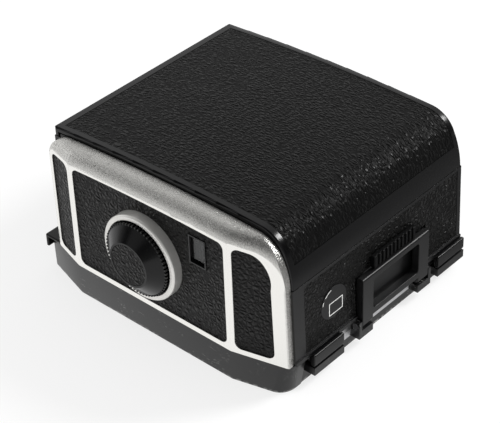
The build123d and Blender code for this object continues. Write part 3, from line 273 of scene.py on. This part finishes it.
def blasted_aluminium(name, tint, flat_normals):
    """Blasted metal on the rounded rail and brighter polished metal on the flats."""
    finish = Finish(name)
    place = finish.place()
    normal = finish.node("ShaderNodeNewGeometry", output="Normal")
    facing = finish.along(normal, flat_normals[0])
    for flat in flat_normals[1:]:
        facing = facing.at_least(finish.along(normal, flat))
    polished = facing.between(0.975, 0.995)
    grain = finish.noise(place, 0.26 * MM, detail=2.0, roughness=0.65)
    mottle = finish.noise(place, 5 * MM)
    blasted = finish.blend(
        (0.9 * grain + 0.12 * mottle).between(0.3, 0.75), colour(toned(tint, 0.66)), colour(tint)
    )
    return finish.surface(
        Base_Color=finish.blend(polished, blasted, colour(toned(tint, 1.16))),
        Metallic=1.0,
        Roughness=0.27 + 0.14 * (grain - 0.5) - 0.04 * polished + 0.06 * (mottle - 0.5),
        Normal=finish.bump(grain * (1.0 - 0.85 * polished), 0.14 * MM),
    )


def turned_metal(name, tint, roughness, grooves, groove_size=0.12 * MM, metallic=1.0):
    """Machined metal with fine tool marks along one direction."""
    finish = Finish(name)
    place = finish.place()
    marks = finish.noise(finish.stretched(place, grooves), groove_size, detail=2.0, roughness=0.6)
    broad = finish.noise(place, 5 * MM, detail=2.0)
    return finish.surface(
        Base_Color=finish.blend(
            (0.6 * marks + 0.4 * broad).between(0.25, 0.75), colour(toned(tint, 0.8)), colour(tint)
        ),
        Metallic=metallic,
        Roughness=roughness + 0.14 * (marks - 0.5) + 0.08 * (broad - 0.5),
        Normal=finish.bump(marks, 0.008 * MM),
    )


# Meshes
def cad_copy(node):
    """Merged copy of a CAD node's mesh, with its flat faces whole again."""
    bm = bmesh.new()
    bm.from_mesh(frame["nodes"][node].data)
    bmesh.ops.remove_doubles(bm, verts=bm.verts, dist=MERGE_GAP)
    bmesh.ops.dissolve_limit(
        bm, angle_limit=FLAT_ANGLE, verts=bm.verts, edges=bm.edges, use_dissolve_boundaries=False
    )
    return bm


def shade(bm):
    """Smooth faces with sharp edges between them."""
    for face in bm.faces:
        face.smooth = True
    for edge in bm.edges:
        edge.smooth = edge.is_manifold and edge.calc_face_angle(0.0) < SHARP_ANGLE


def linked(name, bm, material):
    """Makes an object of a mesh and puts it in the scene."""
    mesh = bpy.data.meshes.new(name)
    bm.to_mesh(mesh)
    bm.free()
    piece = bpy.data.objects.new(name, mesh)
    bpy.context.scene.collection.objects.link(piece)
    mesh.materials.append(material)
    return piece


def finished(node, bm, material, edge=0.0):
    """Makes the piece that stands for a CAD node, with softly rounded edges."""
    shade(bm)
    piece = linked(f"{node}_dressed", bm, material)
    if edge:
        bevel = piece.modifiers.new("Soft edges", "BEVEL")
        bevel.width = edge
        bevel.segments = 2
        bevel.limit_method = "ANGLE"
        bevel.angle_limit = SHARP_ANGLE
        bevel.harden_normals = True
        bevel.use_clamp_overlap = True
    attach(piece, body_of[node])
    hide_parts(node)
    return piece


def dress(node, material, edge=0.0):
    """A CAD node with smooth curved faces, softened edges and its finish."""
    return finished(node, cad_copy(node), material, edge)


def print_on(name, bm, node, material):
    """Thin closed marks that lie on a node and move with it."""
    bmesh.ops.recalc_face_normals(bm, faces=bm.faces)
    piece = linked(name, bm, material)
    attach(piece, body_of[node])


def round_lips(bm, offset):
    """Rounds the outer edges of the cover's two sides, apart from those that look down."""
    reach = max(abs(vert.co.y) for vert in bm.verts)
    slack = 0.5 * MM
    lowest_tilt = -0.1
    lips = [
        edge for edge in bm.edges
        if edge.is_manifold and edge.is_convex
        and all(abs(abs(vert.co.y) - reach) < slack for vert in edge.verts)
        and sorted(round(abs(face.normal.y)) for face in edge.link_faces) == [0, 1]
        and all(face.normal.z > lowest_tilt for face in edge.link_faces)
    ]
    bmesh.ops.bevel(
        bm, geom=lips, affect="EDGES", offset=offset, segments=3, profile=0.5, material=-1, clamp_overlap=True
    )


def outer_face(node, outward):
    """Matrix to the middle of the node's largest face on one side: across, up and outward."""
    nearly_along = 0.9
    bm = cad_copy(node)
    outer = [face for face in bm.faces if face.normal.dot(outward) > nearly_along]
    face = max(outer, key=lambda face: face.calc_area())
    normal, middle = face.normal.copy(), face.calc_center_median()
    bm.free()
    up = (Vector((0, 0, 1)) - normal.z * normal).normalized()
    turn = Matrix((up.cross(normal), up, normal)).transposed()
    return Matrix.Translation(middle) @ turn.to_4x4()


def rectangle_mark(bm, place, size, line, height):
    """Outline of a rectangle."""
    part = bmesh.new()
    bmesh.ops.create_grid(part, x_segments=1, y_segments=1, size=0.5)
    bmesh.ops.scale(part, vec=(*size, 1), verts=part.verts)
    bmesh.ops.inset_region(part, faces=part.faces, thickness=line, use_boundary=True, use_even_offset=True)
    middle = min(part.faces, key=lambda face: face.calc_center_median().length)
    bmesh.ops.delete(part, geom=[middle], context="FACES_ONLY")
    raise_mark(bm, part, place, height)


def arc_mark(bm, place, radius, start, sweep, line, height):
    """Flat arc of a ring."""
    part = bmesh.new()
    ends = [part.verts.new((radius + step, 0, 0)) for step in (0, line)]
    edge = part.edges.new(ends)
    bmesh.ops.spin(part, geom=[*ends, edge], cent=(0, 0, 0), axis=(0, 0, 1), angle=sweep, steps=10)
    bmesh.ops.rotate(part, matrix=Matrix.Rotation(start, 3, "Z"), verts=part.verts)
    raise_mark(bm, part, place, height)


def raise_mark(bm, part, place, height):
    """Thickens flat marks, puts them in place and adds them to the mesh."""
    bmesh.ops.recalc_face_normals(part, faces=part.faces)
    if max(face.normal.z for face in part.faces) < 0:
        bmesh.ops.reverse_faces(part, faces=part.faces)
    bmesh.ops.solidify(part, geom=part.faces, thickness=-height)
    bmesh.ops.transform(part, matrix=place, verts=part.verts)
    mesh = bpy.data.meshes.new("mark")
    part.to_mesh(mesh)
    part.free()
    bm.from_mesh(mesh)
    bpy.data.meshes.remove(mesh)


def numeral_mark(bm, text, place, size, height):
    """Raised numeral, centred on its place."""
    curve = bpy.data.curves.new("numeral", "FONT")
    curve.body = text
    curve.size = size
    curve.extrude = height / 2
    curve.resolution_u = 3
    curve.align_x = "CENTER"
    curve.align_y = "CENTER"
    letter = bpy.data.objects.new("numeral", curve)
    bpy.context.scene.collection.objects.link(letter)
    layer = bpy.context.evaluated_depsgraph_get()
    mesh = bpy.data.meshes.new_from_object(letter.evaluated_get(layer))
    bpy.data.objects.remove(letter)
    mesh.transform(place)
    bm.from_mesh(mesh)
    bpy.data.meshes.remove(mesh)


# Sizes and colours that a user may change
class TrimSettings(bpy.types.PropertyGroup):
    tint: bpy.props.FloatVectorProperty(
        name="Aluminium", description="Colour of the satin trim", subtype="COLOR", default=(0.82, 0.81, 0.78)
    )
    edge: bpy.props.FloatProperty(
        name="Edge", description="Rounding of the trim's edges", default=0.18 * MM, unit="LENGTH", precision=5
    )


class LeatherSettings(bpy.types.PropertyGroup):
    side_pebble: bpy.props.FloatProperty(
        name="Side grain", description="Grain size on the sides", default=1.75 * MM,
        unit="LENGTH", precision=5,
    )
    cover_pebble: bpy.props.FloatProperty(
        name="Cover grain", description="Grain size on the cover", default=1.1 * MM,
        unit="LENGTH", precision=5,
    )
    side_tint: bpy.props.FloatVectorProperty(
        name="Side leather", description="Colour of the raised grain on the sides", subtype="COLOR",
        default=(0.008, 0.0078, 0.0075),
    )
    cover_tint: bpy.props.FloatVectorProperty(
        name="Cover leather", description="Colour of the raised grain on the cover", subtype="COLOR",
        default=(0.0065, 0.0065, 0.0065),
    )


class EnamelSettings(bpy.types.PropertyGroup):
    satin: bpy.props.FloatVectorProperty(
        name="Satin enamel", description="Base frame and casing", subtype="COLOR",
        default=(0.005, 0.005, 0.0053),
    )
    gloss: bpy.props.FloatVectorProperty(
        name="Gloss enamel", description="Cover rim, knob and claws", subtype="COLOR",
        default=(0.002, 0.002, 0.0022),
    )
    edge: bpy.props.FloatProperty(
        name="Edge", description="Rounding of enamelled edges", default=0.2 * MM, unit="LENGTH", precision=5
    )
    lip: bpy.props.FloatProperty(
        name="Lip", description="Rounding of the cover's lips", default=0.9 * MM, unit="LENGTH", precision=5
    )


class MetalSettings(bpy.types.PropertyGroup):
    steel: bpy.props.FloatVectorProperty(
        name="Steel", description="Rods, shafts and strips", subtype="COLOR", default=(0.55, 0.55, 0.56)
    )
    brass: bpy.props.FloatVectorProperty(
        name="Brass", description="Gears", subtype="COLOR", default=(0.72, 0.53, 0.24)
    )
    edge: bpy.props.FloatProperty(
        name="Edge", description="Rounding of machined edges", default=0.1 * MM, unit="LENGTH", precision=5
    )


class MarkSettings(bpy.types.PropertyGroup):
    tint: bpy.props.FloatVectorProperty(
        name="Print", description="Colour of the printed marks", subtype="COLOR", default=(0.9, 0.9, 0.88)
    )
    line: bpy.props.FloatProperty(
        name="Line", description="Width of the printed lines", default=0.28 * MM, unit="LENGTH", precision=5
    )
    dial_step: bpy.props.FloatProperty(
        name="Dial step", description="Turn of the dial from one frame number to the next",
        default=math.radians(20), subtype="ANGLE",
    )
    frames: bpy.props.IntProperty(
        name="Frames", description="Frame numbers on the counter dial", default=15, min=1, max=18
    )


class StageSettings(bpy.types.PropertyGroup):
    lamp_level: bpy.props.FloatProperty(
        name="Lamp level", description="Share of the lamps' full power", default=1.0, min=0.0
    )
    world_level: bpy.props.FloatProperty(
        name="World level", description="Soft light from all round", default=0.75, min=0.0
    )


def settings(name):
    return getattr(bpy.context.scene, f"magazine_{name}")


# Pieces
class MAGAZINE_OT_trim(bpy.types.Operator):
    """Satin aluminium trim of the knob side"""

    bl_idname = "magazine.trim"
    bl_label = "Side trim"

    def execute(self, context):
        own = settings("trim")
        dress("near_trim", blasted_aluminium("satin_trim", own.tint, FLAT_NORMALS), own.edge)
        return {"FINISHED"}


class MAGAZINE_OT_leather(bpy.types.Operator):
    """Pebbled leather of the sides, the walls, the knob and the cover"""

    bl_idname = "magazine.leather"
    bl_label = "Leather panels"

    def execute(self, context):
        own = settings("leather")
        cut_edge = 0.12 * MM
        # Each leather's dark tone is the painted shade in its creases and the low end of its random grain tone
        side = leatherette(
            "side_leatherette", dark=toned(own.side_tint, 0.25), light=own.side_tint,
            pebble=own.side_pebble, depth=0.62 * MM, gloss=0.33, level=0.2,
        )
        for node in (
            "near_leather_left", "near_leather_centre", "near_leather_right", "far_leather",
            "label_leather", "hinge_wall_leather", "knob_leather",
        ):
            dress(node, side, cut_edge)
        cover = leatherette(
            "cover_leatherette", dark=toned(own.cover_tint, 0.3), light=own.cover_tint,
            pebble=own.cover_pebble, depth=0.36 * MM, gloss=0.27, level=0.12, stretch=(0.4, 1.0, 0.4),
        )
        dress("cover_leather", cover, cut_edge)
        return {"FINISHED"}


class MAGAZINE_OT_enamel(bpy.types.Operator):
    """Enamelled base frame, casing, back cover, window frame, catch, claws and lugs"""

    bl_idname = "magazine.enamel"
    bl_label = "Enamelled pieces"

    def execute(self, context):
        own = settings("enamel")
        fine_peel = 0.004 * MM
        satin = enamel("satin_enamel", own.satin, 0.3, wear=0.8, worn_foot=1.2 * MM)
        wall = enamel("wall_enamel", own.satin, 0.34, wear=0.3, level=0.35)
        gloss = enamel("gloss_enamel", own.gloss, 0.2, wear=0.2, orange_peel=fine_peel)
        dress("base_frame", satin, own.edge)
        dress("casing", wall, own.edge)
        lip = enamel("cover_enamel", own.gloss, 0.2, wear=0.2, orange_peel=fine_peel, level=0.35)
        bm = cad_copy("back_cover")
        round_lips(bm, own.lip)
        finished("back_cover", bm, lip)
        dress("counter_window_frame", gloss, own.edge)
        dress("cover_catch", enamel("catch_enamel", own.gloss, 0.5, wear=0.2, level=0.13), own.edge)
        claw = enamel("claw_enamel", own.gloss, 0.3, wear=0.3, level=0.3)
        for node in ("near_claw", "far_claw", "near_lug", "far_lug"):
            dress(node, claw, 2.5 * own.edge)
        return {"FINISHED"}


class MAGAZINE_OT_knob(bpy.types.Operator):
    """Winding knob in its aluminium ring"""

    bl_idname = "magazine.knob"
    bl_label = "Winding knob"

    def execute(self, context):
        own = settings("enamel")
        gloss = enamel("knob_enamel", own.gloss, 0.2, wear=0.3, orange_peel=0.004 * MM, level=0.3)
        dress("winding_knob", gloss, 0.12 * MM)
        pale = toned(settings("trim").tint, 1.15)
        ring = turned_metal(
            "ring_aluminium", pale, 0.42, grooves=(1, 9, 1), groove_size=0.2 * MM, metallic=0.7
        )
        dress("knob_ring", ring, 0.2 * MM)
        return {"FINISHED"}


class MAGAZINE_OT_window(bpy.types.Operator):
    """Glass of the frame counter's window, tinted dark as painted shade over the counter behind it"""

    bl_idname = "magazine.window"
    bl_label = "Counter window"

    def execute(self, context):
        finish = Finish("window_glass")
        haze = finish.noise(finish.place(), 3 * MM, detail=2.0)
        glass = finish.surface(
            # The dark tint is painted shade: it darkens the counter seen through the glass
            Base_Color=colour((0.22, 0.23, 0.23)),
            Roughness=0.02 + 0.04 * haze,
            Transmission_Weight=1.0,
            IOR=1.46,
        )
        dress("counter_window_glass", glass, 0.1 * MM)
        return {"FINISHED"}


class MAGAZINE_OT_lever(bpy.types.Operator):
    """Release lever, and the blackened pins and screws"""

    bl_idname = "magazine.lever"
    bl_label = "Lever and screws"

    def execute(self, context):
        lever = enamel("lever_enamel", (0.006, 0.006, 0.0063), 0.4, wear=0.4, level=0.42)
        dress("release_lever", lever, 0.25 * MM)
        dark = enamel("blackened_steel", (0.014, 0.014, 0.0145), 0.3)
        for node in ("lever_pins", "cover_hinge_pin", "casing_screws"):
            dress(node, dark, settings("metal").edge)
        return {"FINISHED"}


class MAGAZINE_OT_steel(bpy.types.Operator):
    """Steel latch, plates, rods, shafts and strips, and the pressure springs"""

    bl_idname = "magazine.steel"
    bl_label = "Steel pieces"

    def execute(self, context):
        own = settings("metal")
        brushed = (6, 1, 6)
        steel = turned_metal("brushed_steel", own.steel, 0.3, grooves=brushed)
        for node in (
            "latch_bar", "catch_plate", "cover_hooks", "tie_rods", "knob_shaft",
            "take_up_shaft", "counter_studs", "supply_stub", "supply_pivot", "take_up_pivot",
            "pressure_bridge", "dark_slide",
        ):
            dress(node, steel, 0.5 * own.edge)
        bright = turned_metal(
            "bright_steel", toned(own.steel, 1.35), 0.42, grooves=brushed, metallic=0.55
        )
        dress("keeper_strip", bright, 0.5 * own.edge)

        # The springs' kept share of their height is worked out from the plate's travel, but they are not
        # shortened: their mesh only gets its own copy
        springs = dress("pressure_springs", steel)
        travel = next(joint for joint in frame["joints"] if joint["name"] == "pressure_plate_travel")
        low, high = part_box("pressure_springs")
        keep = 1 - travel["range_m"][1] / (high[2] - low[2])
        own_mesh(springs)
        return {"FINISHED"}


class MAGAZINE_OT_gears(bpy.types.Operator):
    """Brass gears and aluminium film rollers"""

    bl_idname = "magazine.gears"
    bl_label = "Gears and rollers"

    def execute(self, context):
        own = settings("metal")
        brass = turned_metal("machined_brass", own.brass, 0.28, grooves=(1, 4, 1))
        for node in ("knob_gear", "take_up_gear", "counter_idler"):
            dress(node, brass)
        aluminium = turned_metal("turned_aluminium", (0.7, 0.7, 0.71), 0.26, grooves=(1, 8, 1))
        for node in ("supply_roller", "take_up_roller"):
            dress(node, aluminium, own.edge)
        return {"FINISHED"}


class MAGAZINE_OT_film_path(bpy.types.Operator):
    """Black plates, spool, slide handle and light-trap felt around the film"""

    bl_idname = "magazine.film_path"
    bl_label = "Film path"

    def execute(self, context):
        own = settings("metal")
        black = enamel("matte_black", (0.02, 0.02, 0.02), 0.62)
        for node in ("near_side_plate", "far_side_plate", "gate_plate", "pressure_plate", "slide_handle"):
            dress(node, black, own.edge)
        dress("take_up_spool", enamel("spool_plastic", (0.012, 0.012, 0.012), 0.34), own.edge)
        # The felt's dark tone is painted shade in its creases, and its grain tops get a painted highlight
        felt = leatherette(
            "light_trap_felt", dark=(0.004, 0.004, 0.004), light=(0.012, 0.012, 0.012),
            pebble=0.3 * MM, depth=0.1 * MM, gloss=0.9,
        )
        dress("slot_seal", felt)
        return {"FINISHED"}


class MAGAZINE_OT_dials(bpy.types.Operator):
    """Format disc and counter dial"""

    bl_idname = "magazine.dials"
    bl_label = "Disc and dial"

    def execute(self, context):
        disc = enamel("disc_grey", (0.006, 0.006, 0.0064), 0.4, level=0.3)
        dress("format_disc", disc, settings("metal").edge)
        dress("counter_dial", enamel("dial_black", (0.015, 0.015, 0.015), 0.45))
        return {"FINISHED"}


class MAGAZINE_OT_marks(bpy.types.Operator):
    """Frame outline on the format disc and numbers on the counter dial"""

    bl_idname = "magazine.marks"
    bl_label = "Printed marks"

    def execute(self, context):
        own = settings("marks")
        ink = enamel("print_white", own.tint, 0.5)
        height = 0.02 * MM

        # Rectangle and two arcs, each with its start and sweep in degrees
        outline_size = (6.8 * MM, 5.0 * MM)
        outline_place = Matrix.Translation((1.0 * MM, -2.2 * MM, 0))
        arc_radius = 5.6 * MM
        arcs = ((104, 34), (152, 14))
        disc = outer_face("format_disc", Vector((1, 0, 0)))
        bm = bmesh.new()
        rectangle_mark(bm, disc @ outline_place, outline_size, own.line, height)
        for start, sweep in arcs:
            arc_mark(bm, disc, arc_radius, math.radians(start), math.radians(sweep), own.line, height)
        print_on("format_marks", bm, "format_disc", ink)

        # The dial's box gives its axis and front face, because its gear is smaller and behind it
        numeral_size = 3.0 * MM
        numeral_radius = 9.8 * MM
        window_angle = math.radians(45.5)
        low, high = (Vector(corner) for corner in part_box("counter_dial"))
        middle = Vector(((low.x + high.x) / 2, low.y, (low.z + high.z) / 2))
        face = Matrix.Translation(middle) @ Matrix(((1, 0, 0), (0, 0, -1), (0, 1, 0))).to_4x4()
        out = Matrix.Rotation(window_angle, 4, "Z") @ Matrix.Translation((numeral_radius, 0, 0))
        upright = out @ Matrix.Rotation(-window_angle, 4, "Z")
        bm = bmesh.new()
        for frame_number in range(own.frames):
            turned = Matrix.Rotation(frame_number * own.dial_step, 4, "Z")
            numeral_mark(bm, str(frame_number + 1), face @ turned @ upright, numeral_size, height)
        print_on("frame_numbers", bm, "counter_dial", ink)
        return {"FINISHED"}


# Stage
AZIMUTH = math.radians(42.41984)
ELEVATION = math.radians(36.28274)
ROLL = math.radians(-1.87073)
AWAY = (-math.sin(AZIMUTH), math.cos(AZIMUTH), 0.0)


def set_camera(scene):
    """Camera at the photograph's angle, with its lens."""
    target = Vector((-4.847, 2.526, 20.0)) * MM
    distance = 584.256 * MM
    back = Vector((
        math.sin(AZIMUTH) * math.cos(ELEVATION),
        -math.cos(AZIMUTH) * math.cos(ELEVATION),
        math.sin(ELEVATION),
    ))
    level = Vector((math.cos(AZIMUTH), math.sin(AZIMUTH), 0))
    right = math.cos(ROLL) * level + math.sin(ROLL) * back.cross(level)
    turn = Matrix((right, back.cross(right), back)).transposed()
    camera_data = bpy.data.cameras.new("camera")
    camera_data.sensor_width = 36.0
    camera_data.lens = 120.656
    camera_data.shift_x = -0.0104
    camera_data.shift_y = -0.0019
    camera_data.clip_start = 0.01
    camera = bpy.data.objects.new("camera", camera_data)
    scene.collection.objects.link(camera)
    camera.matrix_world = Matrix.Translation(target + distance * back) @ turn.to_4x4()
    scene.camera = camera


def floor_white():
    """White for the camera, with a soft shadow; in reflections it is bright on the near left side."""
    camera_share, mirror_share = 0.64, 0.75
    finish = Finish("floor_white")
    lit = finish.node("ShaderNodeBsdfDiffuse", inputs={"Color": colour((0.86, 0.86, 0.86))})
    seen = finish.ray("Camera")
    mirrored = finish.ray("Glossy")
    near_left = finish.along(finish.place(), (-0.5, -0.86, 0.0)).between(-0.12, 0.06)
    glow, dim = (
        finish.node("ShaderNodeEmission", inputs={"Color": colour((1, 1, 1)), "Strength": strength})
        for strength in (1.15, 0.26)
    )
    lit_or_dim = finish.node("ShaderNodeMixShader", inputs=[mirrored, lit, dim])
    glow_share = seen * camera_share + mirrored * (mirror_share * near_left)
    both = finish.node("ShaderNodeMixShader", inputs=[glow_share, lit_or_dim, glow])
    finish.node("ShaderNodeOutputMaterial", inputs={"Surface": both})
    return finish.block


def lay_floor():
    """Wide floor just under the part."""
    floor_radius = 3000 * MM
    clearance = 0.02 * MM
    bm = bmesh.new()
    under = Matrix.Translation((0, 0, -clearance))
    bmesh.ops.create_circle(bm, cap_ends=True, segments=64, radius=floor_radius, matrix=under)
    linked("floor", bm, floor_white())


def set_world(scene, level):
    """White for the camera, even light on the part, and a sweep behind it and at its right in reflections."""
    room_light, back_light, right_light = 0.04, 0.86, 0.38
    scene.world = bpy.data.worlds.new("studio")
    sky = Finish("studio", scene.world)
    direction = sky.node("ShaderNodeTexCoord", output="Generated")
    behind = sky.along(direction, AWAY)
    rightward = sky.along(direction, (0.85, -0.45, 0.25))
    sweep = room_light + back_light * behind.between(-0.02, 0.52)
    sweep = sweep + right_light * rightward.between(0.45, 0.95)
    mirrored = sky.ray("Glossy")
    seen = sky.ray("Camera")
    strength = level * (1.0 - mirrored) + sweep * mirrored
    backdrop = sky.node("ShaderNodeBackground", inputs={"Strength": strength * (1.0 - seen) + seen})
    sky.node("ShaderNodeOutputWorld", inputs={"Surface": backdrop})


def hang_lamp(scene, name, place, power, width):
    """Soft round lamp that looks at the part's middle."""
    middle = Vector((0, 0, 30 * MM))
    light = bpy.data.lights.new(name, "AREA")
    light.shape = "DISK"
    light.size = width
    light.energy = power
    lamp = bpy.data.objects.new(name, light)
    scene.collection.objects.link(lamp)
    turn = (Vector(place) - middle).to_track_quat("Z", "Y").to_matrix()
    lamp.matrix_world = Matrix.Translation(place) @ turn.to_4x4()


class MAGAZINE_OT_stage(bpy.types.Operator):
    """Pale floor, white surroundings, soft lamps and the camera"""

    bl_idname = "magazine.stage"
    bl_label = "Stage"

    def execute(self, context):
        own = settings("stage")
        scene = context.scene
        scene.view_settings.view_transform = "Standard"
        set_camera(scene)
        lay_floor()
        set_world(scene, own.world_level)
        for name, place, power, width in (
            ("key_lamp", (-1.0, -0.3, 0.3), 0.5, 0.45),
            ("spark_lamp", (0.46, 0.62, 0.72), 7.0, 0.3),
            ("front_lamp", (-0.35, -0.9, 0.2), 0.5, 0.7),
        ):
            hang_lamp(scene, name, place, power * own.lamp_level, width)
        return {"FINISHED"}


class MAGAZINE_PT_panel(bpy.types.Panel):
    """Sizes, colours and build steps of the magazine"""

    bl_idname = "MAGAZINE_PT_panel"
    bl_label = "Film magazine"
    bl_space_type = "VIEW_3D"
    bl_region_type = "UI"
    bl_category = "Magazine"

    def draw(self, context):
        for name, group in GROUPS.items():
            box = self.layout.box()
            for key in group.__annotations__:
                box.prop(settings(name), key)
        for operator in OPERATORS:
            self.layout.operator(operator.bl_idname)


GROUPS = {
    "trim": TrimSettings,
    "leather": LeatherSettings,
    "enamel": EnamelSettings,
    "metal": MetalSettings,
    "marks": MarkSettings,
    "stage": StageSettings,
}
OPERATORS = (
    MAGAZINE_OT_stage,
    MAGAZINE_OT_trim,
    MAGAZINE_OT_leather,
    MAGAZINE_OT_enamel,
    MAGAZINE_OT_knob,
    MAGAZINE_OT_window,
    MAGAZINE_OT_lever,
    MAGAZINE_OT_steel,
    MAGAZINE_OT_gears,
    MAGAZINE_OT_film_path,
    MAGAZINE_OT_dials,
    MAGAZINE_OT_marks,
)


def register():
    for group in GROUPS.values():
        bpy.utils.register_class(group)
    for operator in OPERATORS:
        bpy.utils.register_class(operator)
    bpy.utils.register_class(MAGAZINE_PT_panel)
    for name, group in GROUPS.items():
        setattr(bpy.types.Scene, f"magazine_{name}", bpy.props.PointerProperty(type=group))


def unregister():
    for name in GROUPS:
        delattr(bpy.types.Scene, f"magazine_{name}")
    bpy.utils.unregister_class(MAGAZINE_PT_panel)
    for operator in reversed(OPERATORS):
        bpy.utils.unregister_class(operator)
    for group in reversed(list(GROUPS.values())):
        bpy.utils.unregister_class(group)


def main():
    register()
    for operator in OPERATORS:
        family, step = operator.bl_idname.split(".")
        getattr(getattr(bpy.ops, family), step)()


if __name__ == "__main__":
    main()
